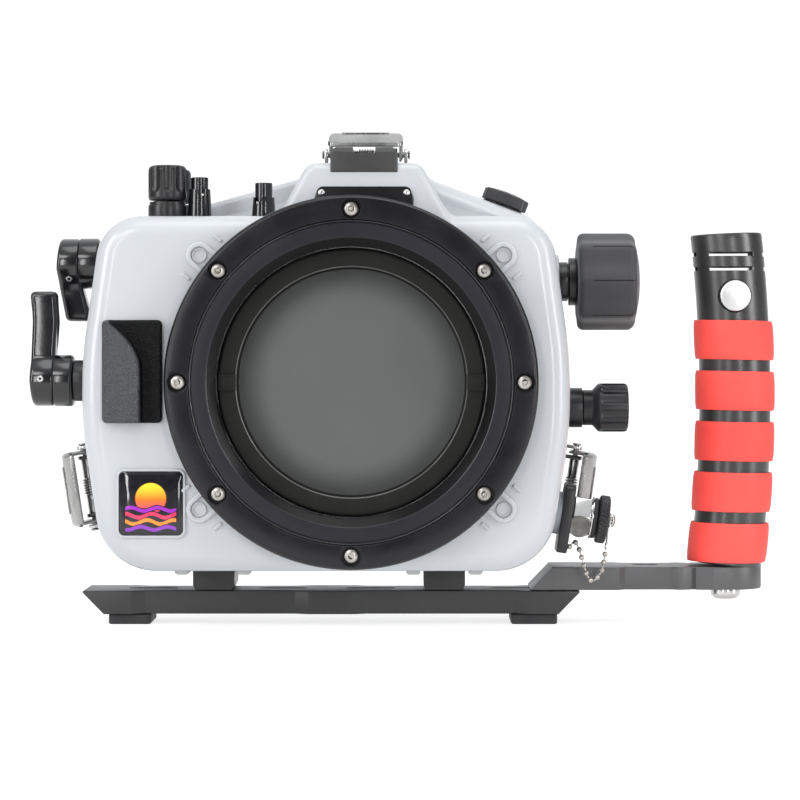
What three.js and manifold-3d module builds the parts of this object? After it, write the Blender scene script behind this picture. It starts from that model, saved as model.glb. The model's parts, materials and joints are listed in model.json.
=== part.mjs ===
// An underwater camera housing on its tray: a moulded front shell and a clear back held together by three
// over-centre latches, a bolted port ring with its body cap, sealed controls through the walls, and a side handle.
// Millimetres, +Z up. The front faces -Y. While it is built, the port's axis is X = 0, Z = 0 and the ring's front
// face is Y = 0. The last lines move the whole object so that its origin is under its middle, on the floor.

import * as THREE from "three";
import { mergeVertices } from "three/addons/utils/BufferGeometryUtils.js";
import Module from "manifold-3d";

const wasm = await Module();
wasm.setup();

// Fits
const fitGap = 0.3;
const runGap = 0.35;
const overrun = 6;
const weldTolerance = 0.0001;

// Port ring: a bolted flange with a stepped collar, and a sleeve through the shell
const ringRadius = 94;
const ringThickness = 11;
const ringChamfer = 1.5;
const collarRadius = 80.5;
const collarSink = 1;
const grooveWidth = 1;
const grooveDepth = 0.9;
const boreMouthRadius = 73;
const boreMouthDepth = 5;
const boreRadius = 68.5;
const sleeveRadius = 76;
const sleeveLength = 22;

// Ring screws and the clamp ring that they thread into, inside the shell
const screwSlant = 40; // the diagonal screws, in degrees above and below the level of the port's middle
const screwCircleRadius = 87;
const screwShankRadius = 2;
const screwHeadRadius = 4.1;
const screwHeadHeight = 2.6;
const screwHeadCrown = 1;
const counterboreRadius = 4.9;
const counterboreDepth = 3.6;
const clampRingInnerLand = 8; // from the screws' circle to the clamp ring's inner edge
const clampRingOuterLand = 3;
const clampRingInner = screwCircleRadius - clampRingInnerLand;
const clampRingOuter = screwCircleRadius + clampRingOuterLand;
const clampRingThickness = 3;

// Body cap: a plug with a recessed face and two finger tabs
const capFaceY = 12;
const capLength = 13;
const capRimWidth = 10;
const capRecess = 9;
const capFloor = 2.5;
const capTabWidth = 8.4;
const capTabProud = 1.6;

// Front shell, seen from the front
const shellX = -13;
const deckZ = 84.3;
const keelZ = -95.8;
const deckHalfWidth = 113.7;
const waistHalfWidth = 123.75;
const keelHalfWidth = 112.5;
const waistTopZ = 12;
const waistBottomZ = -22;
const deckCornerRadius = 23;
const keelCornerRadius = 31;
const waistBend = 15; // how much of the side each gentle waist corner takes up
const wall = 4.5;

// Front shell, front to back
const shellBackY = 112;
const frontEdgeDepth = 10;
const frontEdgeInset = 10;

// Hump over the port, which carries the nameplate, the accessory block and the top latch
const humpX = 6.3;
const humpZ = 111;
const humpTopHalfWidth = 28.7;
const humpFootHalfWidth = 43;
const humpSetback = 1.7;
const humpCornerRadius = 8;
const humpEdgeDepth = 5;
const humpEdgeInset = 4;

// Roofs that rise from the deck to the hump at the back
const roofOverlap = 30;
const leftEaveInset = 14.1;
const leftEaveX = shellX - deckHalfWidth + leftEaveInset;
const leftRidgeX = -29.5;
const leftRidgeZ = 107.5;
const leftRoofY = 89;
const leftRoofEdgeDepth = 4;
const leftRoofEdgeInset = 3;
const rightEaveInset = 4;
const rightEaveX = shellX + deckHalfWidth - rightEaveInset;
const rightRidgeX = 39.4;
const rightRidgeZ = 105.9;
const rightRoofY = 50;
const rightRoofEdgeDepth = 16;
const rightRoofEdgeInset = 8;

// Boss loops and ribs round the port ring, and the frame round the badge
const loopX = 76.6;
const loopZ = 64;
const loopRadius = 6.8;
const loopWall = 2.6;
const loopProud = 1.6;
const loopTail = 12;
const ribSpacing = 12.5;
const ribLength = 6;
const ribWidth = 1.8;
const ribProud = 1.1;
const badgeX = -101;
const badgeZ = -61;
const badgeWidth = 32;
const badgeCornerRadius = 2.6;
const badgeThickness = 1.6;
const badgeFrameWidth = 1.3;
const badgeFrameProud = 1.2;

// Foot pads under the shell, and the blocks that join it to the tray
const padHalfWidth = 23.2;
const padDrop = 4;
const padChamfer = 4;
const padFrontY = 48;
const padBackY = 98;
const padChannelGap = 1.6;
const leftMountX = -72.4;
const rightMountX = 47.3;
const mountWidth = 21.6;
const mountLength = 36;
const mountWaistWidth = 19;
const mountChamferHeight = 2.6;

// Nameplate and grip pad
const nameplateWidth = 50;
const nameplateTopZ = 98.8;
const nameplateHeight = 14;
const nameplateThickness = 1.1;
const nameplateCornerRadius = 2;
const gripPadLeftX = -125.4;
const gripPadRightX = -95.3;
const gripPadTopZ = 31.4;
const gripPadBottomZ = -20.5;
const gripPadHeight = 7;
const gripPadChannelX = -106;
const gripPadChannelWidth = 7;
const gripPadChannelHeight = 1.5;
const gripPadLipHeight = 3;
const gripPadRoll = 4;

// Accessory block on the front of the hump
const blockWidth = 34;
const blockTopZ = 118.8;
const blockBottomZ = 106;
const blockFrontY = 12.1;
const blockBackY = 42;
const blockChamfer = 3.4;
const blockSlotWidth = 11.3;
const blockSlotDepth = 3.2;

// Latches. Local X runs across a latch, Y runs back and Z stands out from the wall.
const latchWidth = 39;
const latchPlateThickness = 1.4;
const latchArmThickness = 2;
const latchPivotY = 96;
const latchPivotHeight = 9.5;
const latchThrow = 12;
const latchDrop = 0.8;
const latchTipReach = 36;
const latchTipHeight = 13.5;
const latchCrestHeight = 23;
const latchHeelHeight = 19;
const latchHeelReach = 2;
const latchArmRadius = 4;
const latchPinRadius = 1.5;
const latchPinHeadRadius = 2.3;
const latchPinHeadLength = 1;
const latchBaseLength = 26;
const latchBaseThickness = 2;
const latchEarThickness = 2;
const latchEarHalfLength = 6;
const sleevePinRadius = 2.7;
const springTurns = 5;
const springPitch = 1.6;
const springWireRadius = 0.5;
const springMeanRadius = 2.5;
const springStepsPerTurn = 8;
const springSides = 5;
const bailThickness = 1.8;
const bailEyeRadius = 3.2;
const bailClearance = 2.2;
const bailDepth = 3;
const hookThickness = 2.1;
const hookReach = 1.6;
const hookGap = 0.5;
const sideLatchZ = -54.5;

// Clear back cover and its O-ring
const flangeThickness = 5.7;
const flangeProud = 1.5;
const domeInset = 7;
const domeBackY = 148;
const domeEdgeDepth = 9;
const domeEdgeInset = 9;
const domeWall = 4.5;
const ringGrooveInset = 0.6;
const ringGrooveWidth = 4;
const ringGrooveDepth = 3;
const eyepieceWidth = 40;
const eyepieceHeight = 26;
const eyepieceDepth = 7;
const eyepieceWall = 4;

// Controls on the back cover
const rearBossRadius = 7.5;
const rearBossProud = 1.2;
const rearButtonRadius = 5;
const rearButtonLength = 5.5;
const rearButtonTravel = 3;
const rearStemRadius = 1.6;
const rearStemReach = 6;
const rearButtonPlaces = [[-72, 38], [-72, 14], [-56, -58]];
const rearDialX = -74;
const rearDialZ = -22;
const rearDialRadius = 13;
const rearDialLength = 10;
const rearDialWheelRadius = 9;

// Levers on the left wall
const leverHubRadius = 13.3;
const leverArmWidth = 15;
const leverArmThickness = 13.4;
const upperLeverY = 78;
const upperLeverZ = 62;
const upperHubLength = 9.8;
const upperArmLength = 30.5;
const lowerLeverY = 44;
const lowerLeverZ = 0.6;
const lowerHubLength = 8.4;
const lowerArmLength = 46;
const lowerGlandLength = 6.2;
const lowerGlandRadius = 10.6;
const upperGlandLength = 1.6;
const upperGlandRadius = 9.5;
const leverBevel = 2;

// Control shafts through the walls
const shaftRadius = 3;
const glandStemRadius = 6;
const glandNutRadius = 8;
const glandNutThickness = 4;
const glandNutClearance = 1.6;
const bossRim = 0.08; // the least that a boss stands out of the sloping wall beside its gland
const bossRadius = 14;
const innerArmLength = 14;
const innerArmWidth = 6;
const innerArmThickness = 3;
const innerReach = 6;

// Knobs and buttons on the deck
const deckControlY = 45;
const topKnobPitch = 30;
const topKnobX = -95.5;
const topKnobRadius = 9.9;
const topKnobLength = 18.2;
const topKnobSeat = 8.4;
const topKnobFlutes = 12;
const fluteDepth = 0.9;
const topWheelRadius = 8;
const topWheelLength = 6;
const topShaftDrop = 22;
const topPlinthHeight = 2.4;
const outerButtonX = -78.9;
const outerButtonZ = 105.3;
const outerGlandHeight = 14.6;
const innerButtonX = -45.9;
const innerButtonZ = 102.5;
const innerGlandHeight = 10.4;
const topButtonRadius = 4.5;
const topButtonGlandRadius = 6.2;
const topButtonGlandTopRadius = 5.5;
const topButtonStemRadius = 1.5;
const topButtonDrop = 17;
const topButtonTravel = 3;

// Zoom knob, high on the right wall
const zoomY = 60;
const zoomZ = 52;
const zoomGlandRadius = 10.2;
const zoomGlandLength = 4.6;
const zoomCollarRadius = 12.4;
const zoomCollarLength = 4.4;
const zoomKnobRadius = 25.2;
const zoomKnobLength = 32.8;
const zoomKnobLobes = 8;
const zoomLobeDepth = 2.4;
const zoomKnobBevel = 3;
const zoomGearRadius = 15;
const zoomGearTooth = 1.6;
const zoomGearTeeth = 16;
const zoomGearThickness = 6;

// Release knob, at the middle of the right wall
const releaseY = 60;
const releaseZ = -13.5;
const releaseGlandRadius = 10.3;
const releaseGlandLength = 8;
const releaseNeckRadius = 9.2;
const releaseNeckLength = 5.2;
const releaseConeLength = 2.3;
const releaseKnobRadius = 12.6;
const releaseKnobLength = 16;
const releaseFlutes = 12;
const releaseWheelRadius = 7;
const releaseWheelLength = 4;

// Vacuum port plug on the right roof
const plugX = 78;
const plugY = 82;
const plugRadius = 12.6;
const plugHeight = 6;
const plugFacets = 10;
const plugStemRadius = 5;
const plugStemLength = 8;
const plugSealRadius = 11;
const plugSealThickness = 1.2;

// Connector low on the right wall, with its screw cap
const connectorY = 43;
const connectorZ = -67;
const bracketTopReach = 15.6;
const bracketBottomReach = 19.8;
const bracketHalfWidth = 12.5;
const bracketSeatRadius = 11;
const bracketSeatHeight = 3;
const bracketThickness = 5.4;
const bracketCornerRadius = 4;
const bulkheadRadius = 11;
const bulkheadFlats = 6;
const bulkheadLength = 12.8;
const bulkheadStemRadius = 7;
const bulkheadNutRadius = 9;
const bulkheadNutThickness = 5;
const bulkheadNutClearance = 3.2;
const discRadius = 6.2;
const discOffset = 4.9;
const discReach = 13;
const discProud = 12;
const connectorCapRadius = 12.4;
const connectorCapLength = 5.6;
const connectorCapTeeth = 20;
const connectorCapToothDepth = 0.7;
const capNeckRadius = 1.8;
const capNeckLength = 2.2;
const rivetRadius = 3.4;
const rivetHeight = 1.8;
const swivelWireRadius = 0.6;
const swivelRingRadius = 3.6;
const swivelTailLength = 11.6;

// Bead chain from the bracket's foot to the cap's swivel ring
const beadRadius = 1.3;
const beadPitch = 3.2;
const chainWireRadius = 0.45;
const chainRoute = [[111.5, -84.9], [114.2, -82.4], [116.3, -85.6], [118.6, -92.9], [121, -100.2], [123.6, -102.4],
  [126.6, -99.8], [128.6, -96], [129.9, -88.7]];

// Tray, front to back and side to side
const trayMiddleY = 73;
const trayDepth = 40;
const trayLeftX = -140.4;
const trayRightX = 117.6;
const trayTopZ = -108.4;
const trayThickness = 12.2;
const trayEndSlope = 11.2;
const trayRecess = 3.4;
const trayRecessSlope = 7;
const trayRecesses = [[-115, -23.3], [0.5, 91]];
const traySlotWidth = 6.6;
const traySlotLength = 26;
const traySlotPlaces = [-105, -37, 9, 84];
const footHeight = 5;
const footInset = 2;
const leftFootX = [-127, -105];
const rightFootX = [82, 106];

// Tray extension, which carries the handle
const extensionLeftX = 91.6;
const extensionThickness = 11.9;
const extensionEndSlope = 11.9;
const extensionRecess = [134, 174];
const extensionRecessSlope = 5;
const extensionRecessDepth = 4;

// Handle: a gently bowed tube with five soft grips
const handleX = 195.2;
const handleTopZ = 78.5;
const handleRadius = 18.6;
const handleBow = 4.9;
const handleSteps = 8;
const handleBoreRadius = 12.8;
const handleBoreDepth = 62;
const handleFootLength = 3.5;
const handleFootRadius = 17;
const gripCount = 5;
const gripPitch = 26.4;
const gripHeight = 20.5;
const gripThickness = 2.3;
const gripEdge = 1.6;
const gripBottomGap = 1.7;
const gripBoreGap = 0.7;
const handleSlotWidth = 2.2;
const handleSlotDrops = [12, 19.6];
const handleButtonDrop = 33.9;
const handleButtonRadius = 8.5;
const handleButtonProud = 2.4;
const handleButtonTravel = 2.5;
const boltRadius = 7.9;
const boltHeadHeight = 5.4;
const boltShankRadius = 3.2;

// Camera shelf and its screw
const shelfHalfWidth = 60;
const shelfZ = -76;
const shelfThickness = 3;
const shelfFrontY = 38;
const shelfBackY = 106;
const shelfLegThickness = 6;
const shelfLegInset = 6;
const shelfSlotWidth = 7.4;
const shelfSlotLength = 30;
const cameraScrewY = 72;
const cameraScrewHeadRadius = 9;
const cameraScrewHeadHeight = 7;
const cameraScrewRadius = 3.1;
const cameraScrewReach = 6;

// Faces round a circle
const wideSides = 40;
const roundSides = 20;
const smallSides = 12;
const tinySides = 8;
const cornerStep = Math.PI / 6;
const edgeSegments = 2;
const knobEdgeSegments = 1;
const fluteSteps = 3;
const ballSides = 6;
const tubeSides = 10;
const wireSides = 4;
const lobeSteps = 6;
const leastEdge = 0.01;

// Finishes
const finish = (color, roughness, metalness) => new THREE.MeshStandardMaterial({ color, roughness, metalness });
const shellGrey = finish(0xdfe2e5, 0.35, 0);
const blackAnodised = finish(0x1e2024, 0.42, 0.6);
const blackPlastic = finish(0x17181a, 0.4, 0);
const blackRubber = finish(0x2b2c2e, 0.8, 0);
const trayGrey = finish(0x3d3d3f, 0.45, 0.6);
const stainless = finish(0xb9bab4, 0.25, 1);
const clearPlastic = finish(0xe6eef0, 0.08, 0);
const capPlastic = finish(0x5f6866, 0.5, 0);
const coralFoam = finish(0xf0483f, 0.75, 0);
const badgeGloss = finish(0x9a2b2b, 0.1, 0);

// Solids

function toSolid(geometry) {
  const bare = geometry.index ? geometry.toNonIndexed() : geometry.clone();
  bare.deleteAttribute("normal");
  bare.deleteAttribute("uv");
  const merged = mergeVertices(bare, weldTolerance);
  const corners = merged.index.array;
  const triangles = [];
  for (let i = 0; i < corners.length; i += 3) {
    const [a, b, c] = [corners[i], corners[i + 1], corners[i + 2]];
    if (a !== b && b !== c && c !== a) triangles.push(a, b, c);
  }
  const vertProperties = new Float32Array(merged.attributes.position.array);
  const triVerts = new Uint32Array(triangles);
  return new wasm.Manifold(new wasm.Mesh({ numProp: 3, vertProperties, triVerts }));
}

function toGeometry(solid) {
  const mesh = solid.getMesh();
  const geometry = new THREE.BufferGeometry();
  geometry.setAttribute("position", new THREE.BufferAttribute(new Float32Array(mesh.vertProperties), 3));
  geometry.setIndex(new THREE.BufferAttribute(new Uint32Array(mesh.triVerts), 1));
  return geometry;
}

function join(first, ...others) {
  return toGeometry(others.reduce((sum, other) => sum.add(toSolid(other)), toSolid(first)));
}

function cut(first, ...tools) {
  return toGeometry(tools.reduce((rest, tool) => rest.subtract(toSolid(tool)), toSolid(first)));
}

function overlap(first, second) {
  return toGeometry(toSolid(first).intersect(toSolid(second)));
}

// A solid turned about the Z axis from a profile of [radius, height] points that closes on itself or on the axis.
function turnedZ(profile, sides) {
  const points = profile.map(([radius, height]) => new THREE.Vector2(radius, height));
  if (THREE.ShapeUtils.area(points) < 0) points.reverse();
  const first = points[0];
  const onAxis = points.filter((point) => point.x === 0).length;
  if (onAxis === 0) points.push(first.clone());
  else while (points[0].x !== 0 || points[points.length - 1].x !== 0) points.push(points.shift());
  return new THREE.LatheGeometry(points, sides).rotateX(Math.PI / 2);
}

function turnedY(profile, sides) {
  return turnedZ(profile, sides).rotateX(-Math.PI / 2);
}

function turnedX(profile, sides) {
  return turnedZ(profile, sides).rotateY(Math.PI / 2);
}

function rodProfile(radius, from, to) {
  return [[0, from], [radius, from], [radius, to], [0, to]];
}

function box(fromX, toX, fromY, toY, fromZ, toZ) {
  const geometry = new THREE.BoxGeometry(toX - fromX, toY - fromY, toZ - fromZ);
  return geometry.translate((fromX + toX) / 2, (fromY + toY) / 2, (fromZ + toZ) / 2);
}

// An outline through [x, y, radius] corners, taken anticlockwise, with an arc in each corner.
function outline(corners) {
  const points = [];
  corners.forEach(([x, y, radius = 0], i) => {
    const here = new THREE.Vector2(x, y);
    const before = corners.at(i - 1);
    const after = corners[(i + 1) % corners.length];
    const arriving = here.clone().sub(new THREE.Vector2(before[0], before[1])).normalize();
    const leaving = new THREE.Vector2(after[0], after[1]).sub(here).normalize();
    const turn = Math.atan2(arriving.cross(leaving), arriving.dot(leaving));
    const reach = radius * Math.tan(Math.abs(turn) / 2);
    if (reach < weldTolerance) {
      points.push(here);
      return;
    }
    const start = here.clone().addScaledVector(arriving, -reach);
    const side = Math.sign(turn) * radius;
    const centre = start.clone().add(new THREE.Vector2(-arriving.y, arriving.x).multiplyScalar(side));
    const from = Math.atan2(start.y - centre.y, start.x - centre.x);
    const steps = Math.max(1, Math.round(Math.abs(turn) / cornerStep));
    for (let step = 0; step <= steps; step += 1) {
      const angle = from + (turn * step) / steps;
      points.push(new THREE.Vector2(centre.x + radius * Math.cos(angle), centre.y + radius * Math.sin(angle)));
    }
  });
  const apart = points.filter((point, i) => point.distanceTo(points.at(i - 1)) > leastEdge);
  return new THREE.Shape(apart);
}

// The same corners moved inwards by a distance, or outwards by a negative one.
function insetCorners(corners, inset) {
  return corners.map(([x, y, radius = 0], i) => {
    const here = new THREE.Vector2(x, y);
    const before = corners.at(i - 1);
    const after = corners[(i + 1) % corners.length];
    const arriving = here.clone().sub(new THREE.Vector2(before[0], before[1])).normalize();
    const leaving = new THREE.Vector2(after[0], after[1]).sub(here).normalize();
    const normals = new THREE.Vector2(-arriving.y - leaving.y, arriving.x + leaving.x);
    const moved = here.addScaledVector(normals, inset / (1 + arriving.dot(leaving)));
    const bends = Math.sign(arriving.cross(leaving));
    return [moved.x, moved.y, radius > 0 ? Math.max(radius - bends * inset, 0) : 0];
  });
}

function rectangle(fromX, toX, fromY, toY, radius) {
  return [[fromX, fromY, radius], [toX, fromY, radius], [toX, toY, radius], [fromX, toY, radius]];
}

function extrude(shape, depth, bevel = {}) {
  const bevelled = { bevelEnabled: true, bevelSegments: edgeSegments, bevelOffset: -bevel.bevelSize, ...bevel };
  const options = bevel.bevelSize ? bevelled : { bevelEnabled: false };
  return new THREE.ExtrudeGeometry(shape, { depth, steps: 1, ...options });
}

// An outline in X and Y, from one height up to another.
function standing(shape, fromZ, toZ) {
  return extrude(shape, toZ - fromZ).translate(0, 0, fromZ);
}

// An outline in X and Z, from a front Y back to another.
function facing(shape, frontY, backY) {
  return extrude(shape, backY - frontY).rotateX(Math.PI / 2).translate(0, backY, 0);
}

// An outline in Y and Z, from one X to another.
function sideways(shape, fromX, toX) {
  return extrude(shape, toX - fromX).rotateX(Math.PI / 2).rotateZ(Math.PI / 2).translate(fromX, 0, 0);
}

// An outline in X and Z whose front edge is rounded. A corner that is tighter than the rounding is left square.
function frontRounded(corners, frontY, backY, edgeDepth, edgeInset) {
  const shape = outline(corners.map(([x, z, radius = 0]) => [x, z, radius > edgeInset ? radius : 0]));
  const bevel = { bevelThickness: edgeDepth, bevelSize: edgeInset };
  const depth = backY - frontY - edgeDepth;
  const block = extrude(shape, depth, bevel).rotateX(Math.PI / 2).translate(0, backY, 0);
  const back = box(-farReach, farReach, backY, backY + edgeDepth + overrun, -farReach, farReach);
  return cut(block, back);
}

// The same with the rounded edge at the back.
function backRounded(corners, frontY, backY, edgeDepth, edgeInset) {
  const mirrored = frontRounded(corners, -backY, -frontY, edgeDepth, edgeInset);
  const flipped = mirrored.scale(1, -1, 1);
  const order = flipped.index.array;
  for (let i = 0; i < order.length; i += 3) [order[i], order[i + 1]] = [order[i + 1], order[i]];
  return flipped;
}

// A knob's outline, with hollows spread evenly round it.
function fluted(radius, depth, count, pointsPerFlute) {
  const total = count * pointsPerFlute;
  const points = Array.from({ length: total }, (_, i) => {
    const angle = (2 * Math.PI * i) / total;
    const hollow = Math.pow((1 + Math.cos(angle * count)) / 2, 2);
    const reach = radius - depth * hollow;
    return new THREE.Vector2(reach * Math.cos(angle), reach * Math.sin(angle));
  });
  return new THREE.Shape(points);
}

function knob(radius, depth, count, pointsPerFlute, length, bevel) {
  const shape = fluted(radius, depth, count, pointsPerFlute);
  const edge = { bevelThickness: bevel, bevelSize: bevel, bevelSegments: knobEdgeSegments };
  return extrude(shape, length - 2 * bevel, edge).translate(0, 0, bevel);
}

// Assembly

const housing = new THREE.Group();
const farReach = 2 * ringRadius + trayRightX - trayLeftX;

function add(name, geometry, material, parent = housing) {
  const mesh = new THREE.Mesh(geometry, material);
  mesh.name = name;
  parent.add(mesh);
  return mesh;
}

function pivotAt(name, x, y, z, parent = housing) {
  const pivot = new THREE.Group();
  pivot.name = name;
  pivot.position.set(x, y, z);
  parent.add(pivot);
  return pivot;
}

// Places on the walls

const shellFrontY = ringThickness + fitGap;
const keelTilt = Math.atan2(waistHalfWidth - keelHalfWidth, waistBottomZ - keelZ);
const deckTilt = Math.atan2(waistHalfWidth - deckHalfWidth, deckZ - waistTopZ);
const bossProud = zoomGlandRadius * Math.tan(Math.abs(deckTilt)) + bossRim;
const roofTilt = Math.atan2(rightRidgeZ - deckZ, rightEaveX - rightRidgeX);
const waistTopRadius = waistBend / Math.tan(Math.abs(deckTilt) / 2);
const waistBottomRadius = waistBend / Math.tan(Math.abs(keelTilt) / 2);

function wallHalfWidth(z) {
  if (z > waistTopZ) return waistHalfWidth - (z - waistTopZ) * Math.tan(deckTilt);
  if (z < waistBottomZ) return waistHalfWidth - (waistBottomZ - z) * Math.tan(keelTilt);
  return waistHalfWidth;
}

const leftWallX = (z) => shellX - wallHalfWidth(z);
const rightWallX = (z) => shellX + wallHalfWidth(z);
const roofZ = (x) => deckZ + (rightEaveX - x) * Math.tan(roofTilt);

const barrel = [
  [shellX - keelHalfWidth, keelZ, keelCornerRadius], [shellX + keelHalfWidth, keelZ, keelCornerRadius],
  [shellX + waistHalfWidth, waistBottomZ, waistBottomRadius], [shellX + waistHalfWidth, waistTopZ, waistTopRadius],
  [shellX + deckHalfWidth, deckZ, deckCornerRadius], [shellX - deckHalfWidth, deckZ, deckCornerRadius],
  [shellX - waistHalfWidth, waistTopZ, waistTopRadius], [shellX - waistHalfWidth, waistBottomZ, waistBottomRadius],
];
const hump = [
  [humpX - humpFootHalfWidth, deckZ - roofOverlap], [humpX + humpFootHalfWidth, deckZ - roofOverlap],
  [humpX + humpFootHalfWidth, deckZ], [humpX + humpTopHalfWidth, humpZ, humpCornerRadius],
  [humpX - humpTopHalfWidth, humpZ, humpCornerRadius], [humpX - humpFootHalfWidth, deckZ],
];
const leftRoof = [
  [leftEaveX, deckZ - roofOverlap], [leftRidgeX, deckZ - roofOverlap], [leftRidgeX, leftRidgeZ], [leftEaveX, deckZ],
];
const rightRoof = [
  [rightRidgeX, deckZ - roofOverlap], [rightEaveX, deckZ - roofOverlap], [rightEaveX, deckZ],
  [rightRidgeX, rightRidgeZ],
];

// The back's whole outline, moved inwards by a distance, as one slab.
function backSlab(inset, frontY, backY) {
  const layers = [barrel, hump, leftRoof, rightRoof].map((corners) => {
    return facing(outline(insetCorners(corners, inset)), frontY, backY);
  });
  return join(...layers);
}

// Front shell

const humpFrontY = shellFrontY + humpSetback;

function shellOutside() {
  const body = frontRounded(barrel, shellFrontY, shellBackY, frontEdgeDepth, frontEdgeInset);
  const crown = frontRounded(hump, humpFrontY, shellBackY, humpEdgeDepth, humpEdgeInset);
  const left = frontRounded(leftRoof, leftRoofY, shellBackY, leftRoofEdgeDepth, leftRoofEdgeInset);
  const right = frontRounded(rightRoof, rightRoofY, shellBackY, rightRoofEdgeDepth, rightRoofEdgeInset);
  return join(body, crown, left, right);
}

function shellInside() {
  const inner = (corners) => insetCorners(corners, wall);
  const backY = shellBackY + overrun;
  const edgeDepth = frontEdgeDepth - wall;
  const body = frontRounded(inner(barrel), shellFrontY + wall, backY, edgeDepth, edgeDepth);
  const crown = facing(outline(inner(hump)), humpFrontY + wall, backY);
  const left = facing(outline(inner(leftRoof)), leftRoofY + leftRoofEdgeDepth + wall, backY);
  const right = facing(outline(inner(rightRoof)), rightRoofY + rightRoofEdgeDepth, backY);
  return join(body, crown, left, right);
}

// One slot-shaped loop that points at the port, with a rib on each side of it.
function bossLoops() {
  const pieces = [];
  const reach = Math.hypot(loopX, loopZ);
  const loopAngle = Math.atan2(loopZ, loopX);
  for (const angle of [loopAngle, Math.PI - loopAngle, Math.PI + loopAngle, -loopAngle]) {
    const stadium = (radius) => outline(rectangle(reach - loopTail, reach + radius, -radius, radius, radius));
    const raised = facing(stadium(loopRadius), shellFrontY - loopProud, shellFrontY + wall / 2);
    const hollow = facing(stadium(loopRadius - loopWall), shellFrontY - loopProud - overrun, shellFrontY - ribProud / 2);
    pieces.push(cut(raised, hollow).rotateY(-angle));
    for (const side of [-1, 1]) {
      const rib = rectangle(reach - ribLength, reach - ribWidth / 2, -ribWidth / 2, ribWidth / 2, 0);
      const bar = facing(outline(rib), shellFrontY - ribProud, shellFrontY + wall / 2).translate(0, 0, side * ribSpacing);
      pieces.push(bar.rotateY(-angle));
    }
  }
  const ringClearance = turnedY(rodProfile(ringRadius + fitGap, -overrun, shellFrontY), wideSides);
  return pieces.map((piece) => cut(piece, ringClearance));
}

const badgeHalf = badgeWidth / 2;

function badgeFrame() {
  const outer = badgeHalf + fitGap + badgeFrameWidth;
  const inner = badgeHalf + fitGap;
  const cornerOuter = badgeCornerRadius + fitGap + badgeFrameWidth;
  const square = (half, radius) => {
    return outline(rectangle(badgeX - half, badgeX + half, badgeZ - half, badgeZ + half, radius));
  };
  const raised = facing(square(outer, cornerOuter), shellFrontY - badgeFrameProud, shellFrontY + wall / 2);
  const well = facing(square(inner, badgeCornerRadius + fitGap), shellFrontY - overrun, shellFrontY);
  return cut(raised, well);
}

const mountGap = mountWidth / 2 + padChannelGap;
const padBottomZ = keelZ - padDrop;

function footPads() {
  return [leftMountX, rightMountX].map((x) => {
    const corners = [
      [x - padHalfWidth, keelZ + wall / 2], [x - padHalfWidth, keelZ], [x - padHalfWidth + padChamfer, padBottomZ],
      [x + padHalfWidth - padChamfer, padBottomZ], [x + padHalfWidth, keelZ], [x + padHalfWidth, keelZ + wall / 2],
    ];
    const pad = facing(outline(corners), padFrontY, padBackY);
    const channel = box(x - mountGap, x + mountGap, padFrontY - overrun, padBackY + overrun, padBottomZ - overrun, keelZ);
    return cut(pad, channel);
  });
}

// A round boss that gives a gland a square seat on a sloping wall.
function wallBoss(side, y, z, radius) {
  const seat = wallHalfWidth(z) + bossProud;
  const root = wallHalfWidth(z) - wall;
  return turnedX(rodProfile(radius, side * root, side * seat), roundSides).translate(shellX, y, z);
}

function wallHole(y, z, radius, side) {
  const reach = waistHalfWidth + farReach;
  return turnedX(rodProfile(radius, 0, side * reach), roundSides).translate(shellX, y, z);
}

function deckHole(x, y, radius) {
  return turnedZ(rodProfile(radius, deckZ - wall - overrun, deckZ + overrun), roundSides).translate(x, y, 0);
}

const connectorX = rightWallX(connectorZ);
const connectorTurn = Math.PI / 2 + keelTilt;
const topKnobPlaces = [deckControlY, deckControlY + topKnobPitch];
const stemHoleRadius = glandStemRadius + fitGap;

function screwPlaces() {
  const turns = [0, screwSlant, 90, 180 - screwSlant, 180, 180 + screwSlant, 270, 360 - screwSlant];
  return turns.map((turn) => {
    const angle = (turn * Math.PI) / 180;
    return [screwCircleRadius * Math.cos(angle), screwCircleRadius * Math.sin(angle)];
  });
}

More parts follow.
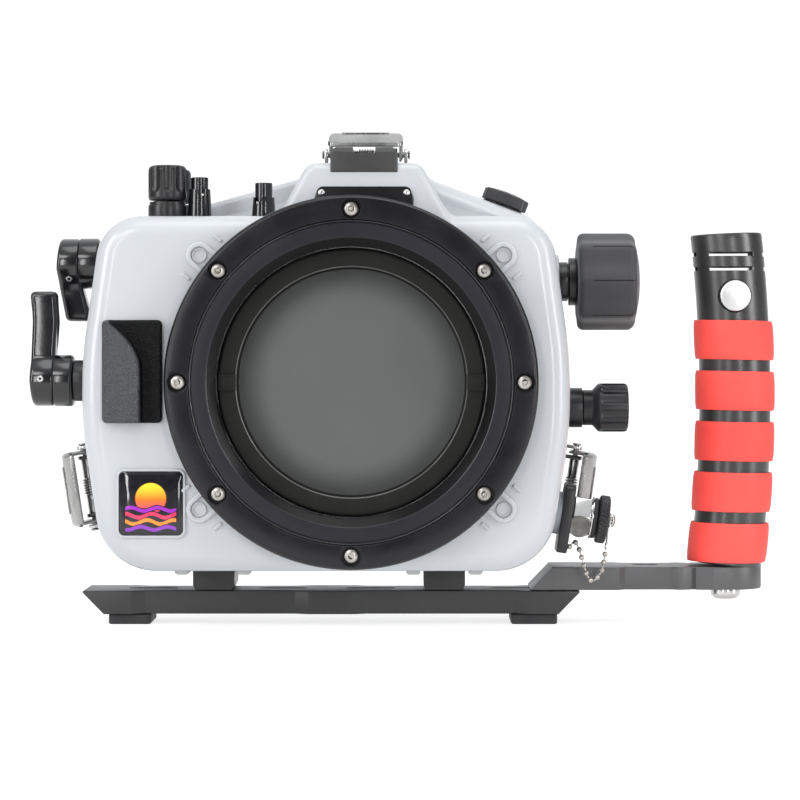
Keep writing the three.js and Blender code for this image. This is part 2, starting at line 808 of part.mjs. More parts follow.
function frontShell() {
  const bosses = [
    wallBoss(-1, upperLeverY, upperLeverZ, bossRadius), wallBoss(1, zoomY, zoomZ, bossRadius),
  ];
  const outside = join(shellOutside(), ...bossLoops(), badgeFrame(), ...footPads(), ...bosses);
  const sleeveHole = turnedY(rodProfile(sleeveRadius + fitGap, -overrun, sleeveLength + overrun), wideSides);
  const pocketY = shellFrontY + wall;
  const pocketProfile = rodProfile(clampRingOuter + 2 * fitGap, pocketY, pocketY + clampRingThickness + 2 * fitGap);
  const screwHoles = screwPlaces().map(([x, z]) => {
    const profile = rodProfile(screwShankRadius + fitGap, 0, sleeveLength + overrun);
    return turnedY(profile, tinySides).translate(x, 0, z);
  });
  const wallHoles = [
    wallHole(upperLeverY, upperLeverZ, stemHoleRadius, -1), wallHole(lowerLeverY, lowerLeverZ, stemHoleRadius, -1),
    wallHole(zoomY, zoomZ, stemHoleRadius, 1), wallHole(releaseY, releaseZ, stemHoleRadius, 1),
  ];
  const deckHoles = [
    ...topKnobPlaces.map((y) => deckHole(topKnobX, y, stemHoleRadius)),
    deckHole(outerButtonX, deckControlY, topButtonStemRadius + 2 * fitGap + glandSleeveWall),
    deckHole(innerButtonX, deckControlY, topButtonStemRadius + 2 * fitGap + glandSleeveWall),
  ];
  const plugHole = turnedZ(rodProfile(plugStemRadius + fitGap, -plugStemLength - overrun, overrun), smallSides);
  plugHole.rotateY(roofTilt).translate(plugX, plugY, roofZ(plugX));
  const connectorHole = turnedZ(rodProfile(bulkheadStemRadius + fitGap, -wall - overrun, overrun), roundSides);
  connectorHole.rotateY(connectorTurn).translate(connectorX, connectorY, connectorZ);
  const pocket = turnedY(pocketProfile, wideSides);
  const holes = [...screwHoles, ...wallHoles, ...deckHoles, plugHole, connectorHole];
  return cut(outside, shellInside(), pocket, sleeveHole, ...holes);
}

const glandSleeveWall = 1.4;

add("front_shell", frontShell(), shellGrey);

// Port ring

function portRing() {
  const backY = ringThickness + sleeveLength;
  const grooveOuter = collarRadius + grooveWidth;
  const profile = [
    [boreMouthRadius, collarSink], [collarRadius, collarSink], [collarRadius, collarSink + grooveDepth],
    [grooveOuter, collarSink + grooveDepth], [grooveOuter, 0], [ringRadius - ringChamfer, 0],
    [ringRadius, ringChamfer], [ringRadius, ringThickness], [sleeveRadius, ringThickness], [sleeveRadius, backY],
    [boreRadius, backY], [boreRadius, boreMouthDepth],
  ];
  const holes = screwPlaces().map(([x, z]) => {
    const shank = turnedY(rodProfile(screwShankRadius + fitGap, -overrun, ringThickness + overrun), tinySides);
    const seat = turnedY(rodProfile(counterboreRadius, -overrun, counterboreDepth), smallSides);
    return join(shank, seat).translate(x, 0, z);
  });
  return cut(turnedY(profile, wideSides), ...holes);
}

add("port_ring", portRing(), blackAnodised);

// Clamp ring with its eight screws

function clampRing() {
  const frontY = shellFrontY + wall + fitGap;
  const backY = frontY + clampRingThickness;
  const profile = [
    [clampRingInner, frontY], [clampRingOuter, frontY], [clampRingOuter, backY], [clampRingInner, backY],
  ];
  const headBackY = counterboreDepth - fitGap;
  const headFrontY = headBackY - screwHeadHeight;
  const screws = screwPlaces().map(([x, z]) => {
    const screw = [
      [0, headFrontY], [screwHeadRadius / 2, headFrontY], [screwHeadRadius, headFrontY + screwHeadCrown],
      [screwHeadRadius, headBackY], [screwShankRadius, headBackY], [screwShankRadius, backY], [0, backY],
    ];
    return turnedY(screw, tinySides).translate(x, 0, z);
  });
  return join(turnedY(profile, wideSides), ...screws);
}

add("clamp_ring_and_screws", clampRing(), stainless);

// Body cap

function bodyCap() {
  const radius = boreRadius - runGap;
  const faceRadius = radius - capRimWidth;
  const backY = capFaceY + capLength;
  const profile = [
    [0, capFaceY + capRecess], [faceRadius, capFaceY + capRecess], [faceRadius, capFaceY], [radius, capFaceY],
    [radius, backY], [faceRadius, backY], [faceRadius, capFaceY + capRecess + capFloor],
    [0, capFaceY + capRecess + capFloor],
  ];
  const tabs = [-1, 1].map((side) => {
    const middle = side * (faceRadius + capRimWidth / 2);
    const half = capRimWidth / 2 - fitGap;
    const height = capTabWidth / 2;
    return box(middle - half, middle + half, capFaceY - capTabProud, capFaceY + capTabProud, -height, height);
  });
  return join(turnedY(profile, wideSides), ...tabs);
}

add("body_cap", bodyCap(), capPlastic, pivotAt("body_cap_slide", 0, 0, 0));

// Nameplate, badge and grip pad

function nameplate() {
  const half = nameplateWidth / 2;
  const corners = rectangle(humpX - half, humpX + half, nameplateTopZ - nameplateHeight, nameplateTopZ,
    nameplateCornerRadius);
  const backY = humpFrontY - fitGap;
  const plate = facing(outline(corners), backY - nameplateThickness, backY);
  const bodyFace = box(-farReach, farReach, shellFrontY - fitGap, farReach, -farReach, deckZ + fitGap);
  const screwPath = turnedY(rodProfile(screwShankRadius + 2 * fitGap, 0, farReach), smallSides);
  return cut(plate, bodyFace, screwPath.translate(0, 0, screwCircleRadius));
}

add("nameplate", nameplate(), blackPlastic);

function badgeTile() {
  const corners = rectangle(badgeX - badgeHalf, badgeX + badgeHalf, badgeZ - badgeHalf, badgeZ + badgeHalf,
    badgeCornerRadius);
  const backY = shellFrontY - fitGap;
  return frontRounded(corners, backY - badgeThickness, backY, badgeThickness / 2, badgeCornerRadius / 2);
}

add("badge_tile", badgeTile(), badgeGloss);

function gripPad() {
  const backY = shellFrontY - fitGap;
  const crestY = backY - gripPadHeight;
  const channelEndX = gripPadChannelX + gripPadChannelWidth;
  const section = [
    [gripPadLeftX, backY], [gripPadRightX, backY], [gripPadRightX, backY - gripPadLipHeight, gripPadLipHeight / 4],
    [channelEndX, backY - gripPadChannelHeight, gripPadLipHeight / 4], [gripPadChannelX, backY - gripPadChannelHeight],
    [gripPadChannelX, crestY, gripPadRoll / 2], [gripPadLeftX, crestY, gripPadRoll],
  ].reverse();
  return standing(outline(section), gripPadBottomZ, gripPadTopZ);
}

add("grip_pad", gripPad(), blackRubber);

// Accessory block on the hump

function accessoryBlock() {
  const half = blockWidth / 2;
  const front = [
    [humpX - half, blockBottomZ], [humpX + half, blockBottomZ], [humpX + half, blockTopZ - blockChamfer],
    [humpX + half - blockChamfer / 2, blockTopZ], [humpX - half + blockChamfer / 2, blockTopZ],
    [humpX - half, blockTopZ - blockChamfer],
  ];
  const slot = box(humpX - blockSlotWidth / 2, humpX + blockSlotWidth / 2, blockFrontY - overrun, blockBackY + overrun,
    blockTopZ - blockSlotDepth, blockTopZ + overrun);
  const seat = facing(outline(insetCorners(hump, -fitGap)), humpFrontY + humpEdgeDepth, farReach);
  const lip = box(-farReach, farReach, humpFrontY - fitGap, farReach, -farReach, humpZ - humpEdgeInset);
  const edge = facing(outline(insetCorners(hump, -fitGap)), humpFrontY - fitGap, farReach);
  return cut(facing(outline(front), blockFrontY, blockBackY), slot, seat, lip, edge);
}

add("accessory_block", accessoryBlock(), blackAnodised);

// Latches

const latchHalf = latchWidth / 2;
const armInner = latchHalf - latchArmThickness;
const earOuter = armInner - 1 * runGap - latchBaseEarGap();
const earInner = earOuter - latchEarThickness;
const bailInner = latchHalf + runGap + fitGap;
const bailOuter = bailInner + bailThickness;
const linkY = latchPivotY - latchThrow;
const linkHeight = latchPivotHeight - latchDrop;
const flangeFrontY = shellBackY + fitGap;
const flangeBackY = flangeFrontY + flangeThickness;
const hookFrontY = flangeBackY + hookGap;
const hookBackY = hookFrontY + hookThickness;

function latchBaseEarGap() {
  return 2 * runGap;
}

// The lock spring: a helix of round wire between the two sleeves on the pivot pin.
function coil(turns, pitch, meanRadius, wireRadius, stepsPerTurn, sides) {
  const steps = turns * stepsPerTurn;
  const positions = [];
  const corners = [];
  const centres = [];
  for (let i = 0; i <= steps; i += 1) {
    const angle = (2 * Math.PI * i) / stepsPerTurn;
    const along = (pitch * i) / stepsPerTurn - (pitch * turns) / 2;
    const out = new THREE.Vector3(0, Math.cos(angle), Math.sin(angle));
    const centre = out.clone().multiplyScalar(meanRadius).setX(along);
    centres.push(centre);
    for (let j = 0; j < sides; j += 1) {
      const round = (2 * Math.PI * j) / sides;
      const point = centre.clone().addScaledVector(out, wireRadius * Math.cos(round));
      point.x += wireRadius * Math.sin(round);
      positions.push(point.x, point.y, point.z);
    }
  }
  for (let i = 0; i < steps; i += 1) {
    for (let j = 0; j < sides; j += 1) {
      const next = (j + 1) % sides;
      const [a, b, c, d] = [i * sides + j, i * sides + next, (i + 1) * sides + next, (i + 1) * sides + j];
      corners.push(a, c, b, a, d, c);
    }
  }
  for (let j = 1; j < sides - 1; j += 1) {
    corners.push(0, j, j + 1);
    corners.push(steps * sides, steps * sides + j + 1, steps * sides + j);
  }
  const geometry = new THREE.BufferGeometry();
  geometry.setAttribute("position", new THREE.Float32BufferAttribute(positions, 3));
  geometry.setIndex(corners);
  return { geometry, leastGap: leastGap(centres, stepsPerTurn, wireRadius) };
}

// The least distance between points of the wire that are half a turn or more apart, less the wire itself.
function leastGap(centres, stepsPerTurn, wireRadius) {
  let least = Infinity;
  for (let i = 0; i < centres.length; i += 1) {
    for (let j = i + stepsPerTurn / 2; j < centres.length; j += 1) {
      least = Math.min(least, centres[i].distanceTo(centres[j]) - 2 * wireRadius);
    }
  }
  return least;
}

function latchBase() {
  const plateHalf = latchBaseLength / 2;
  const middleY = latchPivotY - latchBaseLength / 8;
  const topZ = fitGap + latchBaseThickness;
  const plate = box(-earOuter, earOuter, middleY - plateHalf, middleY + plateHalf, fitGap, topZ);
  const ear = outline([
    [latchPivotY - latchEarHalfLength, fitGap], [latchPivotY + latchEarHalfLength, fitGap],
    [latchPivotY + latchArmRadius, latchPivotHeight + latchArmRadius, latchArmRadius],
    [latchPivotY - latchArmRadius, latchPivotHeight + latchArmRadius, latchArmRadius],
  ]);
  const ears = [[-earOuter, -earInner], [earInner, earOuter]].map(([from, to]) => sideways(ear, from, to));
  const pin = turnedX(rodProfile(latchPinRadius, -latchHalf, latchHalf), tinySides);
  const coilHalf = (springTurns * springPitch) / 2;
  const sleeves = [[-earInner - overrun / 6, -coilHalf], [coilHalf, earInner + overrun / 6]].map(([from, to]) => {
    return turnedX(rodProfile(sleevePinRadius, from, to), tinySides);
  });
  const spring = coil(springTurns, springPitch, springMeanRadius, springWireRadius, springStepsPerTurn, springSides);
  const round = [pin, ...sleeves, spring.geometry].map((piece) => piece.translate(0, latchPivotY, latchPivotHeight));
  return { geometry: join(plate, ...ears, ...round), leastGap: spring.leastGap };
}

// The lever is drawn about its pivot.
function latchLever() {
  const tip = [-latchTipReach, latchTipHeight - latchPivotHeight];
  const heel = [-latchHeelReach, latchHeelHeight - latchPivotHeight];
  const crest = [(tip[0] + heel[0]) / 2, latchCrestHeight - latchPivotHeight];
  const arch = new THREE.Shape();
  arch.moveTo(tip[0], tip[1]);
  arch.quadraticCurveTo(crest[0], crest[1], heel[0], heel[1]);
  arch.lineTo(heel[0], heel[1] - latchPlateThickness);
  arch.quadraticCurveTo(crest[0], crest[1] - latchPlateThickness, tip[0], tip[1] - latchPlateThickness);
  arch.closePath();
  const plate = sideways(arch, -latchHalf, latchHalf);
  const bottom = -latchArmRadius;
  const arm = outline([
    [-latchThrow - latchArmRadius, bottom, latchArmRadius / 2], [latchArmRadius, bottom, latchArmRadius],
    [latchArmRadius, latchArmRadius, latchArmRadius], [heel[0], heel[1] - latchPlateThickness / 2],
    [crest[0], (crest[1] + heel[1]) / 2 - latchPlateThickness], [-latchThrow - latchArmRadius * 3, latchArmRadius],
  ]);
  const hole = turnedX(rodProfile(latchPinRadius + runGap, -farReach, farReach), tinySides);
  const arms = [[-latchHalf, -armInner], [armInner, latchHalf]].map(([from, to]) => cut(sideways(arm, from, to), hole));
  const pins = [-1, 1].map((side) => {
    const headFrom = bailOuter + runGap;
    const profile = [
      [0, side * armInner], [latchPinRadius, side * armInner], [latchPinRadius, side * headFrom],
      [latchPinHeadRadius, side * headFrom], [latchPinHeadRadius, side * (headFrom + latchPinHeadLength)],
      [0, side * (headFrom + latchPinHeadLength)],
    ];
    return turnedX(profile, tinySides).translate(0, -latchThrow, -latchDrop);
  });
  return join(plate, ...arms, ...pins);
}

// The bail is drawn about the pin that joins it to the lever.
function latchBail() {
  const low = bailClearance - linkHeight;
  const high = low + bailDepth;
  const backY = hookBackY - linkY;
  const kneeY = latchThrow;
  const arm = outline([
    [-bailEyeRadius, -bailEyeRadius, bailEyeRadius], [kneeY / 2, low], [backY, low], [backY, high], [kneeY, high],
    [bailEyeRadius, bailEyeRadius, bailEyeRadius], [-bailEyeRadius, bailEyeRadius, bailEyeRadius],
  ]);
  const hole = turnedX(rodProfile(latchPinRadius + runGap, -farReach, farReach), tinySides);
  const sides = [[-bailOuter, -bailInner], [bailInner, bailOuter]];
  const arms = sides.map(([from, to]) => cut(sideways(arm, from, to), hole));
  const bridge = box(-bailOuter, bailOuter, backY - latchThrow, backY, high - latchPlateThickness, high);
  const hook = box(-bailOuter, bailOuter, backY - hookThickness, backY, -linkHeight - hookReach, high);
  return join(...arms, bridge, hook);
}

// A latch stands on a wall whose outward direction is turned from straight up by an angle about Y.
function addLatch(name, x, z, turn) {
  const place = new THREE.Group();
  place.position.set(x, 0, z);
  place.rotation.y = turn;
  housing.add(place);
  const base = latchBase();
  add(`${name}_base`, base.geometry, stainless, place);
  const leverPivot = pivotAt(`${name}_lever_pivot`, 0, latchPivotY, latchPivotHeight, place);
  add(`${name}_lever`, latchLever(), stainless, leverPivot);
  const bailPivot = pivotAt(`${name}_bail_pivot`, 0, -latchThrow, -latchDrop, leverPivot);
  add(`${name}_bail`, latchBail(), stainless, bailPivot);
  return base.leastGap;
}

const springGap = addLatch("top_latch", humpX, humpZ, 0);
addLatch("left_latch", leftWallX(sideLatchZ), sideLatchZ, -connectorTurn);
addLatch("right_latch", rightWallX(sideLatchZ), sideLatchZ, connectorTurn);
console.log(`least gap between a latch spring's turns: ${springGap.toFixed(2)} mm`);

// Back cover

const rearFaceY = domeBackY + rearBossProud;
const eyepieceZ = (deckZ + humpZ) / 2 - wall;

function backCover() {
  const flange = backSlab(-flangeProud, flangeFrontY, flangeBackY);
  const domes = [barrel, hump, leftRoof, rightRoof].map((corners) => {
    const edgeInset = corners === barrel ? domeEdgeInset : domeEdgeInset / 2;
    return backRounded(insetCorners(corners, domeInset), flangeFrontY, domeBackY, domeEdgeDepth, edgeInset);
  });
  const bosses = [...rearButtonPlaces, [rearDialX, rearDialZ]].map(([x, z]) => {
    return turnedY(rodProfile(rearBossRadius, domeBackY - domeWall, rearFaceY), smallSides).translate(x, 0, z);
  });
  const eyepiece = box(humpX - eyepieceWidth / 2, humpX + eyepieceWidth / 2, domeBackY - domeWall,
    domeBackY + eyepieceDepth, eyepieceZ - eyepieceHeight / 2, eyepieceZ + eyepieceHeight / 2);
  const window = box(humpX - eyepieceWidth / 2 + eyepieceWall, humpX + eyepieceWidth / 2 - eyepieceWall, domeBackY,
    domeBackY + eyepieceDepth + overrun, eyepieceZ - eyepieceHeight / 2 + eyepieceWall,
    eyepieceZ + eyepieceHeight / 2 - eyepieceWall);
  const innerInset = domeInset + domeWall;
  const hollow = backSlab(innerInset, flangeFrontY - overrun, domeBackY - domeWall);
  const groove = cut(backSlab(ringGrooveInset, flangeFrontY - overrun, flangeFrontY + ringGrooveDepth),
    backSlab(ringGrooveInset + ringGrooveWidth, flangeFrontY - 2 * overrun, flangeFrontY + ringGrooveDepth + overrun));
  const holes = [...rearButtonPlaces, [rearDialX, rearDialZ]].map(([x, z]) => {
    const profile = rodProfile(rearStemRadius + runGap, flangeBackY, domeBackY + overrun);
    return turnedY(profile, smallSides).translate(x, 0, z);
  });
  return cut(join(flange, ...domes, ...bosses, eyepiece), hollow, groove, window, ...holes);
}

add("back_cover", backCover(), clearPlastic);

function backSeal() {
  const frontY = flangeFrontY;
  const backY = flangeFrontY + ringGrooveDepth - fitGap;
  const outer = backSlab(ringGrooveInset + fitGap, frontY, backY);
  const inner = backSlab(ringGrooveInset + ringGrooveWidth - fitGap, frontY - overrun, backY + overrun);
  return cut(outer, inner);
}

add("back_o_ring", backSeal(), blackRubber);

rearButtonPlaces.forEach(([x, z], i) => {
  const capY = rearFaceY + rearButtonTravel + fitGap;
  const profile = [
    [0, domeBackY - domeWall - rearStemReach], [rearStemRadius, domeBackY - domeWall - rearStemReach],
    [rearStemRadius, capY], [rearButtonRadius, capY], [rearButtonRadius, capY + rearButtonLength],
    [0, capY + rearButtonLength],
  ];
  const button = turnedY(profile, smallSides);
  add(`rear_button_${i + 1}`, button, blackPlastic, pivotAt(`rear_button_${i + 1}_slide`, x, 0, z));
});

function rearDial() {
  const wheelY = domeBackY - domeWall - rearStemReach;
  const capY = rearFaceY + fitGap;
  const outer = knob(rearDialRadius, fluteDepth, topKnobFlutes, fluteSteps, rearDialLength, leverBevel / 2);
  outer.rotateX(-Math.PI / 2).translate(0, capY, 0);
  const shaft = turnedY(rodProfile(rearStemRadius, wheelY, capY + rearDialLength / 2), smallSides);
  const wheel = turnedY(rodProfile(rearDialWheelRadius, wheelY, wheelY + rearStemReach / 2), smallSides);
  return join(outer, shaft, wheel);
}

add("rear_dial", rearDial(), blackPlastic, pivotAt("rear_dial_turn", rearDialX, 0, rearDialZ));

// Glands through the side walls, with their nuts inside

function sideGland(side, y, z, seat, stages) {
  const inside = wallHalfWidth(z) - wall;
  const nutFrom = inside - fitGap - glandNutThickness - nutSlopeGap;
  const profile = [[shaftRadius + runGap, nutFrom], [glandNutRadius, nutFrom], [glandNutRadius, nutFrom + glandNutThickness],
    [glandStemRadius, nutFrom + glandNutThickness], [glandStemRadius, seat + fitGap]];
  let reach = seat + fitGap;
  for (const [radius, length] of stages) {
    profile.push([radius, reach], [radius, reach + length]);
    reach += length;
  }
  profile.push([shaftRadius + runGap, reach]);
  const turned = profile.map(([radius, height]) => [radius, side * height]);
  return turnedX(turned, roundSides).translate(shellX, y, z);
}

const nutSlopeGap = glandNutRadius * Math.tan(Math.abs(deckTilt)) + glandNutClearance;
const upperSeat = wallHalfWidth(upperLeverZ) + bossProud;
const lowerSeat = wallHalfWidth(lowerLeverZ);
const zoomSeat = wallHalfWidth(zoomZ) + bossProud;
const releaseSeat = wallHalfWidth(releaseZ);
const upperGland = [[upperGlandRadius, upperGlandLength]];
const lowerGland = [[lowerGlandRadius, lowerGlandLength]];
const zoomGland = [[zoomGlandRadius, zoomGlandLength], [zoomCollarRadius, zoomCollarLength]];
const releaseGland = [[releaseGlandRadius, releaseGlandLength]];

add("upper_lever_gland", sideGland(-1, upperLeverY, upperLeverZ, upperSeat, upperGland), blackAnodised);
add("lower_lever_gland", sideGland(-1, lowerLeverY, lowerLeverZ, lowerSeat, lowerGland), blackAnodised);
add("zoom_gland", sideGland(1, zoomY, zoomZ, zoomSeat, zoomGland), blackAnodised);
add("release_gland", sideGland(1, releaseY, releaseZ, releaseSeat, releaseGland), blackAnodised);

// Levers. Each is drawn about its axis, with the wall towards +X.

function leverWithShaft(seat, glandLength, hubLength, armLength, armUp, shaftEnd) {
  const hubIn = -(seat + glandLength + 2 * fitGap);
  const hubOut = hubIn - hubLength;
  const armOut = hubOut - leverArmThickness;
  const hub = turnedX(rodProfile(leverHubRadius, armOut, hubIn), roundSides);
  const tipZ = armUp * armLength;
  const half = leverArmWidth / 2;
  const corners = [[-half, 0], [half, 0], [half, armLength, half * 0.8], [-half, armLength, half * 0.8]];
  const arm = sideways(outline(corners), armOut, hubOut);
  const paddle = armUp > 0 ? arm : arm.rotateX(Math.PI);
  const shaft = turnedX(rodProfile(shaftRadius, -shaftEnd, hubIn - overrun / 2), tinySides);
  const armIn = -shaftEnd;
  const innerArm = box(armIn - innerArmThickness, armIn, -innerArmWidth / 2, innerArmWidth / 2, -innerArmLength, 0);
  const innerHub = turnedX(rodProfile(innerArmWidth / 2 + 1 * fitGap, armIn - innerArmThickness, armIn), tinySides);
  return { geometry: join(hub, paddle, shaft, innerArm, innerHub), tipZ };
}

const leverShaftEnd = (z) => wallHalfWidth(z) - wall - glandNutThickness - nutSlopeGap - innerReach;
const upperLever = leverWithShaft(upperSeat, upperGlandLength, upperHubLength, upperArmLength, -1,
  leverShaftEnd(upperLeverZ));
const lowerLever = leverWithShaft(lowerSeat, lowerGlandLength, lowerHubLength, lowerArmLength, 1,
  leverShaftEnd(lowerLeverZ));

add("upper_lever", upperLever.geometry, blackAnodised, pivotAt("upper_lever_pivot", shellX, upperLeverY, upperLeverZ));
add("lower_lever", lowerLever.geometry, blackAnodised, pivotAt("lower_lever_pivot", shellX, lowerLeverY, lowerLeverZ));

// Knobs on the right wall, drawn about their axes

function zoomKnob() {
  const from = zoomSeat + 2 * fitGap + zoomGlandLength + zoomCollarLength;
  const shaftEnd = leverShaftEnd(zoomZ) - zoomGearThickness;
  const shape = fluted(zoomKnobRadius, zoomLobeDepth, zoomKnobLobes, lobeSteps);
  const edge = { bevelThickness: zoomKnobBevel, bevelSize: zoomKnobBevel };
  const grip = extrude(shape, zoomKnobLength - 2 * zoomKnobBevel, edge).rotateY(Math.PI / 2);
  grip.translate(from + zoomKnobBevel, 0, 0);
  const shaft = turnedX(rodProfile(shaftRadius, shaftEnd, from + overrun), tinySides);
  const teeth = fluted(zoomGearRadius, zoomGearTooth, zoomGearTeeth, fluteSteps);
  const gear = extrude(teeth, zoomGearThickness).rotateY(Math.PI / 2).translate(shaftEnd, 0, 0);
  return join(grip, shaft, gear);
}

add("zoom_knob", zoomKnob(), blackRubber, pivotAt("zoom_knob_turn", shellX, zoomY, zoomZ));

function releaseKnob() {
  const from = releaseSeat + 2 * fitGap + releaseGlandLength;
  const coneEnd = from + releaseNeckLength + releaseConeLength;
  const shaftEnd = leverShaftEnd(releaseZ);
  const neck = turnedX([
    [0, from], [releaseNeckRadius, from], [releaseNeckRadius, from + releaseNeckLength],
    [releaseKnobRadius - leverBevel / 2, coneEnd], [releaseKnobRadius - leverBevel / 2, coneEnd + overrun / 2],
    [0, coneEnd + overrun / 2],
  ], roundSides);
  const grip = knob(releaseKnobRadius, fluteDepth, releaseFlutes, fluteSteps, releaseKnobLength, leverBevel / 2);
  grip.rotateY(Math.PI / 2).translate(coneEnd, 0, 0);
  const shaft = turnedX(rodProfile(shaftRadius, shaftEnd, from + overrun / 2), tinySides);
  const wheel = turnedX(rodProfile(releaseWheelRadius, shaftEnd, shaftEnd + releaseWheelLength), smallSides);
  return join(neck, grip, shaft, wheel);
}

add("release_knob", releaseKnob(), blackPlastic, pivotAt("release_knob_turn", shellX, releaseY, releaseZ));

// Deck controls

const deckInsideZ = deckZ - wall;

function topKnobGlands() {
  const seatZ = deckZ + fitGap;
  const glands = topKnobPlaces.map((y) => {
    const nutTop = deckInsideZ - fitGap;
    const profile = [
      [shaftRadius + runGap, nutTop - glandNutThickness], [glandNutRadius, nutTop - glandNutThickness],
      [glandNutRadius, nutTop], [glandStemRadius, nutTop], [glandStemRadius, seatZ], [topKnobRadius, seatZ],
      [topKnobRadius, seatZ + topKnobSeat - runGap], [shaftRadius + runGap, seatZ + topKnobSeat - runGap],
    ];
    return turnedZ(profile, roundSides).translate(topKnobX, y, 0);
  });
  const reach = topKnobRadius;
  const plinth = rectangle(topKnobX - reach, topKnobX + reach, topKnobPlaces[0] - reach, topKnobPlaces[1] + reach,
    reach);
  const solid = join(standing(outline(plinth), seatZ, seatZ + topPlinthHeight), ...glands);
  const bores = topKnobPlaces.map((y) => {
    return turnedZ(rodProfile(shaftRadius + runGap, deckInsideZ - farReach, farReach), tinySides).translate(topKnobX, y, 0);
  });
  return cut(solid, ...bores);
}

add("top_knob_glands", topKnobGlands(), blackAnodised);

function topKnob() {
  const fromZ = deckZ + fitGap + topKnobSeat + runGap;
  const grip = knob(topKnobRadius, fluteDepth, topKnobFlutes, fluteSteps, topKnobLength, leverBevel / 2).translate(0, 0, fromZ);
  const endZ = deckZ - topShaftDrop;
  const shaft = turnedZ(rodProfile(shaftRadius, endZ, fromZ + overrun), tinySides);
  const wheel = turnedZ(rodProfile(topWheelRadius, endZ, endZ + topWheelLength), smallSides);
  return join(grip, shaft, wheel);
}

["front_top_knob", "rear_top_knob"].forEach((name, i) => {
  add(name, topKnob(), blackPlastic, pivotAt(`${name}_turn`, topKnobX, topKnobPlaces[i], 0));
});

function buttonGland(height) {
  const bore = topButtonStemRadius + runGap;
  const stem = bore + glandSleeveWall;
  const seatZ = deckZ + fitGap;
  const nutTop = deckInsideZ - fitGap;
  const wellRadius = topButtonRadius + runGap;
  const wellFloor = seatZ + height - topButtonTravel - 2 * fitGap;
  return turnedZ([
    [bore, nutTop - glandNutThickness / 2], [topButtonGlandTopRadius, nutTop - glandNutThickness / 2],
    [topButtonGlandTopRadius, nutTop], [stem, nutTop], [stem, seatZ], [topButtonGlandRadius, seatZ],
    [topButtonGlandTopRadius, seatZ + height], [wellRadius, seatZ + height], [wellRadius, wellFloor], [bore, wellFloor],
  ], roundSides);
}

function topButton(topZ, glandHeight) {
  const capFrom = deckZ + fitGap + glandHeight - fitGap;
  return turnedZ([
    [0, deckZ - topButtonDrop], [topButtonStemRadius, deckZ - topButtonDrop], [topButtonStemRadius, capFrom],
    [topButtonRadius, capFrom], [topButtonRadius, topZ - leverBevel / 4], [topButtonRadius - leverBevel / 4, topZ],
    [0, topZ],
  ], smallSides);
}

[
  ["outer_top_button", outerButtonX, outerButtonZ, outerGlandHeight],
  ["inner_top_button", innerButtonX, innerButtonZ, innerGlandHeight],
].forEach(([name, x, topZ, glandHeight]) => {
  add(`${name}_gland`, buttonGland(glandHeight).translate(x, deckControlY, 0), blackAnodised);
  add(name, topButton(topZ, glandHeight), blackAnodised, pivotAt(`${name}_slide`, x, deckControlY, 0));
});

// Vacuum port plug, on the right roof

function addPlug() {
  const place = new THREE.Group();
  place.position.set(plugX, plugY, roofZ(plugX));
  place.rotation.y = roofTilt;
  housing.add(place);
  const slide = pivotAt("vacuum_plug_slide", 0, 0, 0, place);
  const sealInner = plugStemRadius + fitGap;
  const sealTop = fitGap + plugSealThickness;
  const seal = turnedZ([
    [sealInner, fitGap], [plugSealRadius, fitGap], [plugSealRadius, sealTop], [sealInner, sealTop],
  ], roundSides);
  add("vacuum_plug_o_ring", seal, blackRubber, slide);
  const turn = pivotAt("vacuum_plug_turn", 0, 0, 0, slide);
  const headFrom = sealTop + fitGap;
  const head = knob(plugRadius, fluteDepth, plugFacets, fluteSteps, plugHeight, leverBevel / 4).translate(0, 0, headFrom);
  const stem = turnedZ(rodProfile(plugStemRadius, -plugStemLength, headFrom + plugHeight / 2), smallSides);
  add("vacuum_plug", join(head, stem), trayGrey, turn);
}

addPlug();

// Connector: a bracket on the wall, the bulkhead through it, and the screw cap on its chain

